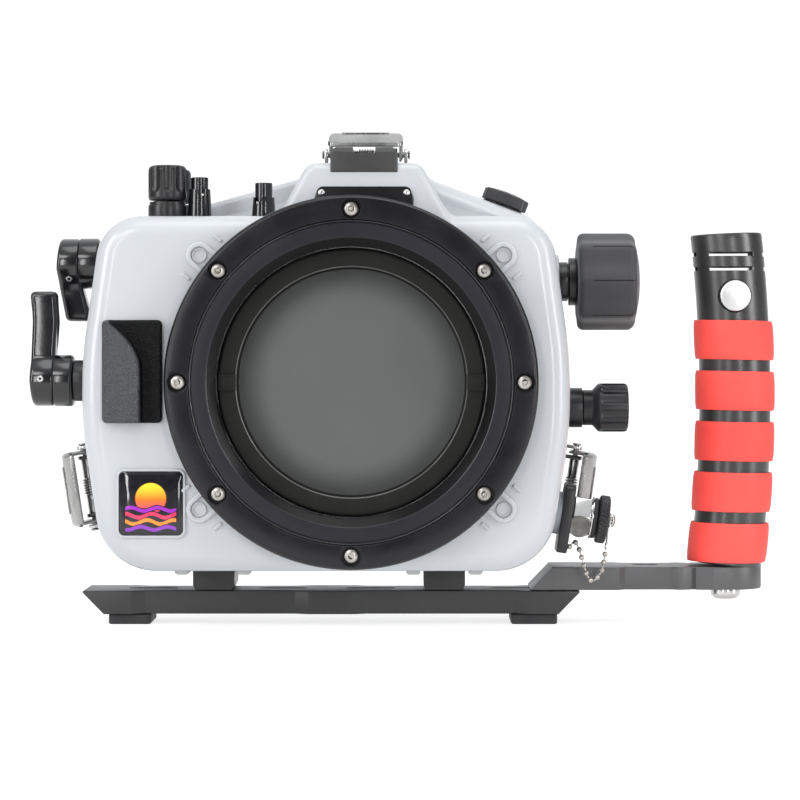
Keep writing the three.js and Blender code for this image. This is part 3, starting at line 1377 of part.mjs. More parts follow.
function addConnector() {
  const place = new THREE.Group();
  place.position.set(connectorX, connectorY, connectorZ);
  place.rotation.y = connectorTurn;
  housing.add(place);
  const seatTop = fitGap + bracketSeatHeight;
  const plateTop = seatTop + bracketThickness;
  const seat = turnedZ(rodProfile(bracketSeatRadius, fitGap, seatTop), roundSides);
  const plate = standing(outline(rectangle(-bracketTopReach, bracketBottomReach, -bracketHalfWidth, bracketHalfWidth,
    bracketCornerRadius)), seatTop, plateTop);
  const bore = turnedZ(rodProfile(bulkheadStemRadius + fitGap, -overrun, farReach), roundSides);
  add("connector_bracket", cut(join(seat, plate), bore), blackAnodised, place);

  const headFrom = plateTop + fitGap;
  const headTo = headFrom + bulkheadLength;
  const innerNutTop = -wall - bulkheadNutClearance;
  const stem = turnedZ([
    [0, innerNutTop - bulkheadNutThickness], [bulkheadNutRadius, innerNutTop - bulkheadNutThickness],
    [bulkheadNutRadius, innerNutTop], [bulkheadStemRadius, innerNutTop], [bulkheadStemRadius, headTo], [0, headTo],
  ], roundSides);
  const head = turnedZ(rodProfile(bulkheadRadius, headFrom, headTo), bulkheadFlats);
  const disc = turnedY(rodProfile(discRadius, -discProud, 0), smallSides).translate(discOffset, 0, discReach);
  const beyond = standing(outline(rectangle(-farReach, farReach, -farReach, farReach, 0)), headFrom - farReach, headFrom);
  add("connector_bulkhead", join(stem, head, cut(disc, beyond)), stainless, place);

  const slide = pivotAt("connector_cap_slide", 0, 0, 0, place);
  const capFrom = headTo + fitGap;
  const capTo = capFrom + connectorCapLength;
  const ringAt = capTo + capNeckLength / 2;
  const ring = new THREE.TorusGeometry(swivelRingRadius, swivelWireRadius, wireSides, smallSides).translate(0, 0, ringAt);
  const tail = box(swivelRingRadius, swivelRingRadius + swivelTailLength, -swivelWireRadius, swivelWireRadius,
    ringAt - swivelWireRadius, ringAt + swivelWireRadius);
  add("cap_swivel_ring", join(ring, tail), stainless, slide);

  const turn = pivotAt("connector_cap_turn", 0, 0, 0, slide);
  const cap = knob(connectorCapRadius, connectorCapToothDepth, connectorCapTeeth, 2, connectorCapLength, leverBevel / 4);
  cap.translate(0, 0, capFrom);
  const rivet = turnedZ([
    [0, capTo - overrun / 2], [capNeckRadius, capTo - overrun / 2], [capNeckRadius, capTo + capNeckLength],
    [rivetRadius, capTo + capNeckLength], [rivetRadius, capTo + capNeckLength + rivetHeight / 2],
    [rivetRadius / 2, capTo + capNeckLength + rivetHeight], [0, capTo + capNeckLength + rivetHeight],
  ], smallSides);
  add("connector_cap", join(cap, rivet), blackAnodised, turn);
}

addConnector();

function capChain() {
  const route = new THREE.CatmullRomCurve3(chainRoute.map(([x, z]) => new THREE.Vector3(x, connectorY, z)));
  const length = route.getLength();
  const beads = Math.floor(length / beadPitch);
  const section = new THREE.Shape();
  section.absarc(0, 0, chainWireRadius, 0, 2 * Math.PI);
  const wire = new THREE.ExtrudeGeometry(section, { extrudePath: route, steps: 2 * beads, curveSegments: wireSides / 2 });
  const balls = Array.from({ length: beads + 1 }, (_, i) => {
    const { x, y, z } = route.getPointAt(i / beads);
    return new THREE.SphereGeometry(beadRadius, ballSides, ballSides / 2).translate(x, y, z);
  });
  return join(wire, ...balls);
}

add("cap_chain", capChain(), stainless);

// Mount blocks and tray

const trayFrontY = trayMiddleY - trayDepth / 2;
const trayBackY = trayMiddleY + trayDepth / 2;
const trayBottomZ = trayTopZ - trayThickness;

[["left_mount_block", leftMountX], ["right_mount_block", rightMountX]].forEach(([name, x]) => {
  const half = mountWidth / 2;
  const waist = mountWaistWidth / 2;
  const topZ = keelZ - fitGap;
  const bottomZ = trayTopZ + fitGap;
  const corners = [
    [x - waist, bottomZ], [x + waist, bottomZ], [x + half, bottomZ + mountChamferHeight], [x + half, topZ],
    [x - half, topZ], [x - half, bottomZ + mountChamferHeight],
  ];
  const block = facing(outline(corners), trayMiddleY - mountLength / 2, trayMiddleY + mountLength / 2);
  add(name, block, blackPlastic);
});

// A plan with stretches where both long edges step inwards.
function recessedPlan(fromX, toX, halfDepth, recesses, slope, recess) {
  const frontEdge = [[fromX, -halfDepth]];
  for (const [from, to] of recesses) {
    frontEdge.push([from, -halfDepth], [from + slope, recess - halfDepth], [to - slope, recess - halfDepth],
      [to, -halfDepth]);
  }
  frontEdge.push([toX, -halfDepth]);
  const backEdge = frontEdge.map(([x, y]) => [x, -y]).reverse();
  return [...frontEdge, ...backEdge];
}

function tray() {
  const plan = recessedPlan(trayLeftX, trayRightX, trayDepth / 2, trayRecesses, trayRecessSlope, trayRecess);
  const plate = standing(outline(plan), trayBottomZ, trayTopZ).translate(0, trayMiddleY, 0);
  const ends = facing(outline([
    [trayLeftX + trayEndSlope, trayBottomZ], [trayRightX - trayEndSlope, trayBottomZ], [trayRightX, trayTopZ],
    [trayLeftX, trayTopZ],
  ]), trayFrontY - overrun, trayBackY + overrun);
  const slots = traySlotPlaces.map((x) => {
    const half = traySlotLength / 2;
    const side = traySlotWidth / 2;
    const slot = outline(rectangle(x - half, x + half, trayMiddleY - side, trayMiddleY + side, side * 0.98));
    return standing(slot, trayBottomZ - overrun, trayTopZ + overrun);
  });
  return cut(overlap(plate, ends), ...slots);
}

add("tray", tray(), trayGrey);

[["left_tray_foot", leftFootX], ["right_tray_foot", rightFootX]].forEach(([name, [from, to]]) => {
  const topZ = trayBottomZ - fitGap;
  const corners = rectangle(from, to, trayFrontY + footInset, trayBackY - footInset, footInset);
  add(name, standing(outline(corners), topZ - footHeight, topZ), blackRubber);
});

// Tray extension

const extensionBottomZ = trayTopZ + fitGap;
const extensionTopZ = extensionBottomZ + extensionThickness;
const [recessFromX, recessToX] = extensionRecess;

function trayExtension() {
  const half = trayDepth / 2;
  const end = handleRadius;
  const narrow = half - extensionRecessDepth;
  const front = [
    [extensionLeftX, -half], [recessFromX, -half], [recessFromX + extensionRecessSlope, -narrow],
    [recessToX - extensionRecessSlope, -narrow], [recessToX, -end], [handleX + end, -end, end * 0.98],
  ];
  const back = front.map(([x, y, radius = 0]) => [x, -y, radius]).reverse();
  const plate = standing(outline([...front, ...back]), extensionBottomZ, extensionTopZ).translate(0, trayMiddleY, 0);
  const end45 = facing(outline([
    [extensionLeftX, extensionBottomZ - overrun], [farReach, extensionBottomZ - overrun], [farReach, extensionTopZ],
    [extensionLeftX + extensionEndSlope, extensionTopZ], [extensionLeftX, extensionBottomZ],
  ]), trayFrontY - overrun, trayBackY + overrun);
  const boltHole = turnedZ(rodProfile(boltShankRadius + fitGap, extensionBottomZ - overrun, extensionTopZ + overrun),
    smallSides).translate(handleX, trayMiddleY, 0);
  return cut(overlap(plate, end45), boltHole);
}

add("tray_extension", trayExtension(), trayGrey);

// Handle

const handleBottomZ = extensionTopZ + fitGap;
const handleChord = handleTopZ - handleBottomZ;
const handleArcRadius = (handleChord * handleChord) / (8 * handleBow) + handleBow / 2;
const handleMiddleZ = (handleTopZ + handleBottomZ) / 2;

// How far the handle's middle line stands from its chord at a height, and how much it leans there.
function handleOffset(z) {
  const rise = z - handleMiddleZ;
  return Math.sqrt(handleArcRadius * handleArcRadius - rise * rise) - (handleArcRadius - handleBow);
}

const handleLean = (z) => -Math.asin((z - handleMiddleZ) / handleArcRadius);

function handleCore(radius) {
  const points = Array.from({ length: handleSteps + 1 }, (_, i) => {
    const z = handleBottomZ + (handleChord * i) / handleSteps;
    return new THREE.Vector3(handleX + handleOffset(z), trayMiddleY, z);
  });
  const section = new THREE.Shape();
  section.absarc(0, 0, radius, 0, 2 * Math.PI);
  const path = new THREE.CatmullRomCurve3(points);
  const sweep = new THREE.ExtrudeGeometry(section, { extrudePath: path, steps: handleSteps, curveSegments: tubeSides });
  const trim = box(handleX - farReach, handleX + farReach, trayMiddleY - farReach, trayMiddleY + farReach,
    handleBottomZ - farReach, handleBottomZ);
  return cut(sweep, trim);
}

const handleButtonZ = handleTopZ - handleButtonDrop;
const handleButtonX = handleX + handleOffset(handleButtonZ);

function handleTube() {
  const core = handleCore(handleRadius);
  const topX = handleX + handleOffset(handleTopZ);
  const bore = turnedZ(rodProfile(handleBoreRadius, -handleBoreDepth, overrun), roundSides);
  bore.rotateY(handleLean(handleTopZ)).translate(topX, trayMiddleY, handleTopZ);
  const slots = handleSlotDrops.flatMap((drop) => {
    const z = handleTopZ - drop;
    const half = handleSlotWidth / 2;
    const frontSlot = box(handleX - handleBoreRadius, handleX + handleBoreRadius, trayMiddleY - farReach,
      trayMiddleY - handleBoreRadius / 2, z - half, z + half);
    const backSlot = box(handleX - handleBoreRadius, handleX + handleBoreRadius, trayMiddleY + handleBoreRadius / 2,
      trayMiddleY + farReach, z - half, z + half);
    return [frontSlot, backSlot];
  });
  const buttonHole = turnedY(rodProfile(handleButtonRadius + runGap, -farReach, 0), smallSides);
  buttonHole.translate(handleButtonX, trayMiddleY, handleButtonZ);
  const headTopZ = extensionBottomZ - fitGap;
  const bolt = turnedZ([
    [0, headTopZ - boltHeadHeight], [boltRadius / 2, headTopZ - boltHeadHeight], [boltRadius, headTopZ - boltHeadHeight / 2],
    [boltRadius, headTopZ], [boltShankRadius, headTopZ], [boltShankRadius, handleBottomZ + handleFootLength],
    [0, handleBottomZ + handleFootLength],
  ], smallSides).translate(handleX, trayMiddleY, 0);
  return join(cut(core, bore, buttonHole, ...slots), bolt);
}

add("handle_tube", handleTube(), blackAnodised);

function handleGrip(middleZ) {
  const inner = handleRadius + gripBoreGap;
  const outer = handleRadius + gripThickness;
  const half = gripHeight / 2;
  const ring = turnedZ([
    [inner, -half], [outer - gripEdge, -half], [outer, gripEdge - half], [outer, half - gripEdge],
    [outer - gripEdge, half], [inner, half],
  ], roundSides);
  ring.rotateY(handleLean(middleZ)).translate(handleX + handleOffset(middleZ), trayMiddleY, middleZ);
  return ring;
}

for (let i = 0; i < gripCount; i += 1) {
  const middleZ = handleBottomZ + gripBottomGap + gripHeight / 2 + (gripCount - 1 - i) * gripPitch;
  add(`handle_grip_${i + 1}`, handleGrip(middleZ), coralFoam);
}

function handleButton() {
  const face = handleRadius + handleButtonProud;
  const root = handleBoreRadius - handleButtonTravel;
  return turnedY([
    [0, -face], [handleButtonRadius / 2, handleButtonProud / 4 - face], [handleButtonRadius, handleButtonProud - face],
    [handleButtonRadius, -root], [0, -root],
  ], smallSides);
}

add("handle_button", handleButton(), stainless, pivotAt("handle_button_slide", handleButtonX, trayMiddleY,
  handleButtonZ));

// Camera shelf and its screw

const keelInsideZ = keelZ + wall + fitGap;

function cameraShelf() {
  const plate = box(-shelfHalfWidth, shelfHalfWidth, shelfFrontY, shelfBackY, shelfZ - shelfThickness, shelfZ);
  const legs = [-1, 1].map((side) => {
    const outer = side * (shelfHalfWidth - shelfLegInset);
    const inner = outer - side * shelfLegThickness;
    return box(Math.min(inner, outer), Math.max(inner, outer), shelfFrontY, shelfBackY, keelInsideZ, shelfZ);
  });
  const half = shelfSlotLength / 2;
  const side = shelfSlotWidth / 2;
  const slot = standing(outline(rectangle(-half, half, cameraScrewY - side, cameraScrewY + side, side * 0.98)),
    shelfZ - shelfThickness - overrun, shelfZ + overrun);
  return cut(join(plate, ...legs), slot);
}

add("camera_shelf", cameraShelf(), blackAnodised);

function cameraScrew() {
  const headTop = shelfZ - shelfThickness - fitGap;
  const headBottom = headTop - cameraScrewHeadHeight;
  const head = knob(cameraScrewHeadRadius, fluteDepth, topKnobFlutes, 2, cameraScrewHeadHeight, leverBevel / 4);
  const shank = turnedZ(rodProfile(cameraScrewRadius, headBottom + overrun / 2, shelfZ + cameraScrewReach), smallSides);
  return join(head.translate(0, 0, headBottom), shank);
}

add("camera_screw", cameraScrew(), stainless, pivotAt("camera_screw_turn", 0, cameraScrewY, 0));

// The origin goes under the middle of the object, on the floor.

const model = new THREE.Group();
model.add(housing);
housing.updateMatrixWorld(true);
const reachBox = new THREE.Box3().setFromObject(housing, true);
const middle = reachBox.getCenter(new THREE.Vector3());
housing.position.set(-middle.x, -middle.y, -reachBox.min.z);

export default model;
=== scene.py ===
# %% [markdown]
# # An underwater camera housing
# The part is a sealed box for a camera: a light grey shell, a big black port ring, levers and knobs whose
# shafts pass through the wall, three latches that hold a clear back, and a tray with a hand grip.
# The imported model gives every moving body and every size. This lesson dresses it: each cell makes one piece
# or one finish, and says how it could be made and why this way was chosen.

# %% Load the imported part
import bpy
import bmesh
import json
import math
import numpy as np
from mathutils import Matrix, Vector

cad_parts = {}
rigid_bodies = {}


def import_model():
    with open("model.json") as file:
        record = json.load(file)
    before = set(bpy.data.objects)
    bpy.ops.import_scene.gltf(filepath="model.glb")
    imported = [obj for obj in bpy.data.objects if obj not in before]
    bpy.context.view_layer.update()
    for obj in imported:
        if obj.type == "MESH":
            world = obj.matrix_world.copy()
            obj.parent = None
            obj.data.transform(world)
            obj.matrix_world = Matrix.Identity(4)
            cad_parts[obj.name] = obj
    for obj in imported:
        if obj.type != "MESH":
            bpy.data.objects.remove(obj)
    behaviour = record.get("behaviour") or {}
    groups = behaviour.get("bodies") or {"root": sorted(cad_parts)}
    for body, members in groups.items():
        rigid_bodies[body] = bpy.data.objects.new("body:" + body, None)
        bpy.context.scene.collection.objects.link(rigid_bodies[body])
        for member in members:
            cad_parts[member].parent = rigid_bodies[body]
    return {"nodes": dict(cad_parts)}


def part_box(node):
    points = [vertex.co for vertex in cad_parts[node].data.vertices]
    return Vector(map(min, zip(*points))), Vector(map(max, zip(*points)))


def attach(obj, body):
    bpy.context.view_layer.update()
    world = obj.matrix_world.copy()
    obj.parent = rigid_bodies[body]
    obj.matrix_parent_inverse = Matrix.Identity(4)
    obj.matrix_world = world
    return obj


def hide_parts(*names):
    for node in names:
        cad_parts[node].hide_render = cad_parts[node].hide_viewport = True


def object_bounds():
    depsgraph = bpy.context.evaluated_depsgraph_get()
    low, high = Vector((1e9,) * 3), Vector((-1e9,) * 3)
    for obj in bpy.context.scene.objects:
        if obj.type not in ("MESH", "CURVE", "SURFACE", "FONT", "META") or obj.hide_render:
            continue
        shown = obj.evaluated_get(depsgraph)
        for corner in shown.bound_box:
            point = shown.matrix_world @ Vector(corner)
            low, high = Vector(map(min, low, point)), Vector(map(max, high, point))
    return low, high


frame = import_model()
cad_box = [list(corner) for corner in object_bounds()]
NODES = frame["nodes"]

# %% [markdown]
# ## One set of coordinates for the whole lesson
# The housing is easiest to measure from the middle of its port, in millimetres: x to the right, y away from
# the lens's view, z up. The port ring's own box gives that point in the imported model, so nothing is fitted
# by eye. Every helper below works in these millimetres, and the last step turns them into metres.

# %% The port's middle is the origin
ring_low, ring_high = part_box("port_ring")
PORT = Vector(((ring_low.x + ring_high.x) / 2, ring_low.y, (ring_low.z + ring_high.z) / 2))


def at(point):
    """A point in port millimetres, as metres in the part's frame."""
    return PORT + Vector(point) / 1000


print("port centre", [round(v * 1000, 2) for v in PORT])

# %% [markdown]
# ## Camera, floor and light
# The photograph is a level view from far in front, so the verticals stay upright. A long lens far away keeps
# the perspective weak, and a small lens shift puts the housing where it sits in the picture, which is better
# than turning the camera, because turning would make the verticals lean.

# %% Camera
camera_data = bpy.data.cameras.new("camera")
camera = bpy.data.objects.new("camera", camera_data)
bpy.context.scene.collection.objects.link(camera)
camera.location = at((29.5, -1450, 11.25))
camera.rotation_euler = (math.radians(90), 0, 0)
camera_data.lens, camera_data.sensor_width = 130.5, 36
camera_data.shift_x, camera_data.shift_y = -0.0125, -0.05
camera_data.clip_end = 20
bpy.context.scene.camera = camera
print("camera at", [round(v, 4) for v in camera.location])

# %% [markdown]
# ## Floor
# The floor is one wide round sheet of white paper. Under strong light it is as white as the world behind it,
# so no horizon shows, and the housing seems to stand in a white room. The paper glows a little too, as if lit
# from below, so the shadow under the tray stays light. Towards the camera, outside its view, the
# paper fades to grey, or its glare would fog every black surface that faces the lens.

# %% Floor
floor_height = cad_box[0][2]


def round_floor(radius=4.0, sides=96):
    turns = [2 * math.pi * i / sides for i in range(sides)]
    mesh = bpy.data.meshes.new("paper_floor")
    rim = [(radius * math.cos(a), radius * math.sin(a), floor_height) for a in turns]
    mesh.from_pydata(rim, [], [tuple(range(sides))])
    return bpy.data.objects.new("paper_floor", mesh)


floor = round_floor()
bpy.context.scene.collection.objects.link(floor)
paper = bpy.data.materials.new("paper")
paper.use_nodes = True
paper_shader = paper.node_tree.nodes["Principled BSDF"]
for label, value in (("Roughness", 0.8), ("Specular IOR Level", 0.2), ("Emission Strength", 1.9)):
    paper_shader.inputs[label].default_value = value
paper_place, paper_parts, paper_fade, paper_tone = (
    paper.node_tree.nodes.new("ShaderNode" + kind) for kind in ("TexCoord", "SeparateXYZ", "MapRange", "ValToRGB"))
for start, end in ((paper_place.outputs["Object"], paper_parts.inputs["Vector"]),
                   (paper_parts.outputs["Y"], paper_fade.inputs["Value"]),
                   (paper_fade.outputs["Result"], paper_tone.inputs["Fac"]),
                   (paper_tone.outputs["Color"], paper_shader.inputs["Base Color"]),
                   (paper_tone.outputs["Color"], paper_shader.inputs["Emission Color"])):
    paper.node_tree.links.new(start, end)
paper_fade.interpolation_type = "SMOOTHSTEP"
paper_fade.inputs["From Min"].default_value, paper_fade.inputs["From Max"].default_value = -1.0, -0.66
for stop, colour in zip(paper_tone.color_ramp.elements, ((0.15, 0.15, 0.152, 1), (0.4, 0.4, 0.4, 1))):
    stop.color = colour
floor.data.materials.append(paper)

# %% [markdown]
# Big soft lamps suit this object, because its black parts are only seen by what they reflect: long pale
# streaks down the tube, a bright line along each rounded edge. One lamp above, one wide panel on each side
# and a smaller one high on the left do that, and two narrow strips beside the lens draw thin bright lines. The
# world is white behind the housing and dimmer behind the camera, so surfaces that face the lens mirror a dark
# room, as they do in a studio. Without that, black looks grey.

# %% Soft studio light
world = bpy.data.worlds.new("studio")
bpy.context.scene.world = world
world.use_nodes = True
sky = world.node_tree
looking, parts, both, steep = (
    sky.nodes.new("ShaderNode" + kind) for kind in ("TexCoord", "SeparateXYZ", "Math", "Math"))
sky.links.new(looking.outputs["Generated"], parts.inputs["Vector"])
shades = []
for axis, low, high, dim, bright in (("Y", -0.5, 0.94, 0.0, 1.0), ("Z", 0.4, 0.9, 0.2, 1.15)):
    shade = sky.nodes.new("ShaderNodeMapRange")
    sky.links.new(parts.outputs[axis], shade.inputs["Value"])
    for label, value in (("From Min", low), ("From Max", high), ("To Min", dim), ("To Max", bright)):
        shade.inputs[label].default_value = value
    shades.append(shade.outputs["Result"])
steep.operation = "POWER"
steep.inputs[1].default_value = 4.0
sky.links.new(shades[0], steep.inputs[0])
sky.links.new(steep.outputs["Value"], both.inputs[0])
sky.links.new(shades[1], both.inputs[1])
sky.links.new(both.outputs["Value"], sky.nodes["Background"].inputs["Strength"])
sky.nodes["Background"].inputs["Color"].default_value = (0.97, 0.985, 1.0, 1)
bpy.context.scene.view_settings.view_transform = "Standard"


def soft_lamp(name, place, target, width, height, watts):
    lamp = bpy.data.lights.new(name, "AREA")
    lamp.shape, lamp.size, lamp.size_y, lamp.energy = "RECTANGLE", width, height, watts
    holder = bpy.data.objects.new(name, lamp)
    bpy.context.scene.collection.objects.link(holder)
    holder.location = place
    holder.rotation_euler = (Vector(target) - Vector(place)).to_track_quat("-Z", "Y").to_euler()


MIDDLE = (0.0, 0.0, 0.1)
soft_lamp("lamp_above", (0.1, -0.35, 1.25), MIDDLE, 1.0, 0.6, 5)
soft_lamp("lamp_left", (-1.15, -0.75, 0.55), MIDDLE, 0.35, 1.0, 10)
soft_lamp("lamp_right", (1.2, -0.6, 0.5), (0.05, 0.0, 0.1), 0.35, 1.0, 9.5)
soft_lamp("lamp_high_left", (-0.75, -1.5, 1.15), MIDDLE, 0.7, 0.4, 6.5)
soft_lamp("strip_left", (-0.52, -1.45, 0.3), MIDDLE, 0.1, 0.7, 3.2)
soft_lamp("strip_right", (0.5, -1.45, 0.3), MIDDLE, 0.1, 0.7, 4.2)
print("six lamps and a pale world")

# %% [markdown]
# ## Finishes
# No surface is one flat colour. Three small effects recur, so each is a node group that is built once and
# placed in every finish with its own numbers: a drift of the colour, a roughness that varies, and a grain
# that becomes relief through a Bump node. They read Object coordinates, so they stay put when a part turns.

# %% Effects that the finishes share


def effect_group(name, inputs, output, output_kind, wire):
    """A shader node group from inputs of (name, kind, default) to one output; wire links its nodes."""
    group = bpy.data.node_groups.new(name, "ShaderNodeTree")
    for label, kind, default in inputs:
        socket = group.interface.new_socket(label, in_out="INPUT", socket_type="NodeSocket" + kind)
        socket.default_value = default
    group.interface.new_socket(output, in_out="OUTPUT", socket_type="NodeSocket" + output_kind)
    nodes = group.nodes
    wire(nodes, group.links, nodes.new("NodeGroupInput"), nodes.new("NodeGroupOutput"))
    return group


def noise_node(nodes, links, source, scale, detail, roughness):
    texture = nodes.new("ShaderNodeTexNoise")
    texture.inputs["Detail"].default_value, texture.inputs["Roughness"].default_value = detail, roughness
    links.new(source, texture.inputs["Vector"])
    links.new(scale, texture.inputs["Scale"])
    return texture


def spread_noise(nodes, links, given, detail, roughness):
    """Noise in Object coordinates, with its middle values spread over the whole range."""
    place = nodes.new("ShaderNodeTexCoord").outputs["Object"]
    noise = noise_node(nodes, links, place, given.outputs["Scale"], detail, roughness)
    spread = nodes.new("ShaderNodeMapRange")
    spread.inputs["From Min"].default_value, spread.inputs["From Max"].default_value = 0.3, 0.7
    links.new(noise.outputs["Fac"], spread.inputs["Value"])
    return spread


def wire_drift(nodes, links, given, result):
    spread = spread_noise(nodes, links, given, 2.0, 0.5)
    mix = nodes.new("ShaderNodeMix")
    mix.data_type = "RGBA"
    links.new(spread.outputs["Result"], mix.inputs["Factor"])
    links.new(given.outputs["Darker"], mix.inputs["A"])
    links.new(given.outputs["Lighter"], mix.inputs["B"])
    links.new(mix.outputs["Result"], result.inputs["Color"])


def wire_sheen_range(nodes, links, given, result):
    spread = spread_noise(nodes, links, given, 4.0, 0.6)
    links.new(given.outputs["Smooth"], spread.inputs["To Min"])
    links.new(given.outputs["Rough"], spread.inputs["To Max"])
    links.new(spread.outputs["Result"], result.inputs["Roughness"])


def wire_grain(nodes, links, given, result):
    place = nodes.new("ShaderNodeTexCoord").outputs["Object"]
    stretch = nodes.new("ShaderNodeVectorMath")
    stretch.operation = "MULTIPLY"
    links.new(place, stretch.inputs[0])
    links.new(given.outputs["Stretch"], stretch.inputs[1])
    fine = noise_node(nodes, links, stretch.outputs["Vector"], given.outputs["Scale"], 2.0, 0.55)
    links.new(fine.outputs["Fac"], result.inputs["Height"])


colour_drift = effect_group("colour_drift", [
    ("Darker", "Color", (0.4, 0.4, 0.4, 1)), ("Lighter", "Color", (0.5, 0.5, 0.5, 1)), ("Scale", "Float", 20.0)],
    "Color", "Color", wire_drift)
sheen_range = effect_group("sheen_range", [
    ("Smooth", "Float", 0.3), ("Rough", "Float", 0.4), ("Scale", "Float", 60.0)],
    "Roughness", "Float", wire_sheen_range)
surface_grain = effect_group("surface_grain", [
    ("Scale", "Float", 900.0), ("Stretch", "Vector", (1, 1, 1))], "Height", "Float", wire_grain)
print("effect groups:", colour_drift.name, sheen_range.name, surface_grain.name)

# %% [markdown]
# A finish is a Principled shader fed by those three groups. The grain's scale is in grains per metre: paint
# has soft bumps a millimetre or two wide, moulded rubber a tighter and deeper grain, anodised aluminium
# almost none. Numbers that are the same all over, such as the coat, are set on the shader itself.

# %% Make a finish


def placed_group(material, group, label, values):
    node = material.node_tree.nodes.new("ShaderNodeGroup")
    node.node_tree, node.label = group, label
    for socket, value in values.items():
        node.inputs[socket].default_value = value
    return node


def make_finish(name, darker, lighter, gloss, metal=0.0, drift=18.0, smudge=60.0, grain=None,
                stretch=(1, 1, 1), bump=0.1, bump_height=0.0001, coat=0.0, coat_rough=0.1, **shader_values):
    material = bpy.data.materials.new(name)
    material.use_nodes = True
    shader = material.node_tree.nodes["Principled BSDF"]
    links = material.node_tree.links
    drifted = placed_group(material, colour_drift, "colour", {
        "Darker": (*darker, 1), "Lighter": (*lighter, 1), "Scale": drift})
    links.new(drifted.outputs["Color"], shader.inputs["Base Color"])
    ranged = placed_group(material, sheen_range, "roughness", {"Smooth": gloss[0], "Rough": gloss[1], "Scale": smudge})
    links.new(ranged.outputs["Roughness"], shader.inputs["Roughness"])
    if grain:
        grained = placed_group(material, surface_grain, "grain", {"Scale": grain, "Stretch": stretch})
        relief = material.node_tree.nodes.new("ShaderNodeBump")
        relief.inputs["Strength"].default_value, relief.inputs["Distance"].default_value = bump, bump_height
        links.new(grained.outputs["Height"], relief.inputs["Height"])
        links.new(relief.outputs["Normal"], shader.inputs["Normal"])
    shader.inputs["Metallic"].default_value = metal
    shader.inputs["Coat Weight"].default_value = coat
    shader.inputs["Coat Roughness"].default_value = coat_rough
    for socket, value in shader_values.items():
        shader.inputs[socket.replace("_", " ")].default_value = value
    return material


shell_paint = make_finish("shell_paint", (0.385, 0.401, 0.421), (0.426, 0.443, 0.464), (0.36, 0.46), drift=9,
                          grain=1400, bump=0.2, bump_height=0.0002, coat=0.5, coat_rough=0.16)
ring_black = make_finish("ring_black", (0.003, 0.003, 0.0044), (0.0058, 0.0057, 0.0078), (0.2, 0.28), grain=3000,
                         bump=0.12, bump_height=0.00008, Specular_IOR_Level=0.38)
collar_black = make_finish("collar_black", (0.0085, 0.0082, 0.012), (0.0125, 0.012, 0.0165), (0.34, 0.44), grain=3000,
                           bump=0.12, bump_height=0.00008, Specular_IOR_Level=0.22)
plastic_black = make_finish("plastic_black", (0.004, 0.004, 0.005), (0.0085, 0.0085, 0.01), (0.29, 0.38),
                            grain=2600, bump=0.04, Specular_IOR_Level=0.45)
gloss_black = make_finish("gloss_black", (0.003, 0.003, 0.004), (0.006, 0.006, 0.0075), (0.12, 0.2), grain=500,
                          bump=0.03, coat=0.5, coat_rough=0.05)
rubber_black = make_finish("rubber_black", (0.009, 0.009, 0.01), (0.015, 0.015, 0.0165), (0.55, 0.72), grain=2200,
                           bump=0.6, bump_height=0.00025)
tray_anodised = make_finish("tray_anodised", (0.024, 0.024, 0.0248), (0.034, 0.034, 0.0351), (0.34, 0.44), metal=0.35,
                            grain=4200, bump=0.16, bump_height=0.00008)
arm_anodised = make_finish("arm_anodised", (0.064, 0.064, 0.066), (0.086, 0.086, 0.0885), (0.34, 0.44), metal=0.35,
                            grain=4200, bump=0.16, bump_height=0.00008)
tube_anodised = make_finish("tube_anodised", (0.055, 0.054, 0.055), (0.08, 0.079, 0.08), (0.26, 0.34), metal=0.7,
                            grain=3600, stretch=(1, 1, 0.25), bump=0.12, bump_height=0.00008)
stainless = make_finish("stainless", (0.46, 0.455, 0.45), (0.6, 0.595, 0.59), (0.16, 0.28), metal=1.0, drift=60,
                        smudge=300, grain=2500, bump=0.05, bump_height=0.00005)
stainless_brushed = make_finish("stainless_brushed", (0.24, 0.24, 0.235), (0.36, 0.355, 0.35), (0.24, 0.36), metal=1.0,
                                drift=90, smudge=200, grain=2600, stretch=(0.12, 1, 1), bump=0.2, bump_height=0.00006)
foam_coral = make_finish("foam_coral", (0.8, 0.052, 0.04), (0.9, 0.074, 0.058), (0.55, 0.68), drift=14, grain=3800,
                         bump=0.35, bump_height=0.00015)
screw_steel = make_finish("screw_steel", (0.3, 0.285, 0.265), (0.44, 0.42, 0.395), (0.26, 0.38), metal=1.0, drift=120,
                          smudge=400, grain=2500, bump=0.08, bump_height=0.00005)
# Painted shade: a darker, less shiny copy of the ring's anodising for the shaded bore.
bore_black = make_finish("bore_black", (0.0012, 0.0012, 0.0015), (0.0024, 0.0024, 0.0029), (0.24, 0.34), grain=3000,
                         bump=0.1, bump_height=0.00006, Specular_IOR_Level=0.14)
# Painted highlight: a paler, more metallic copy of the anodising that draws a bright line on the small ridge.
ridge_black = make_finish("ridge_black", (0.1, 0.1, 0.105), (0.16, 0.16, 0.165), (0.18, 0.26), metal=0.9,
                          grain=3000, bump=0.05)
cap_plastic = make_finish("cap_plastic", (0.061, 0.0665, 0.0645), (0.073, 0.0795, 0.077), (0.48, 0.6), drift=10,
                          grain=2400, bump=0.3)
print("finishes:", len([m for m in bpy.data.materials if m.use_nodes]))

# %% [markdown]
# The back is clear acrylic. Glass and clear plastic share one recipe: full transmission, a smooth surface
# and the index of refraction of acrylic, 1.49. A faint grey drift stands for the tint that thick acrylic has.

# %% Clear acrylic
clear_acrylic = make_finish("clear_acrylic", (0.86, 0.89, 0.89), (0.92, 0.94, 0.94), (0.03, 0.08), drift=6, smudge=15,
                            grain=300, bump=0.02, Transmission_Weight=1.0, IOR=1.49)

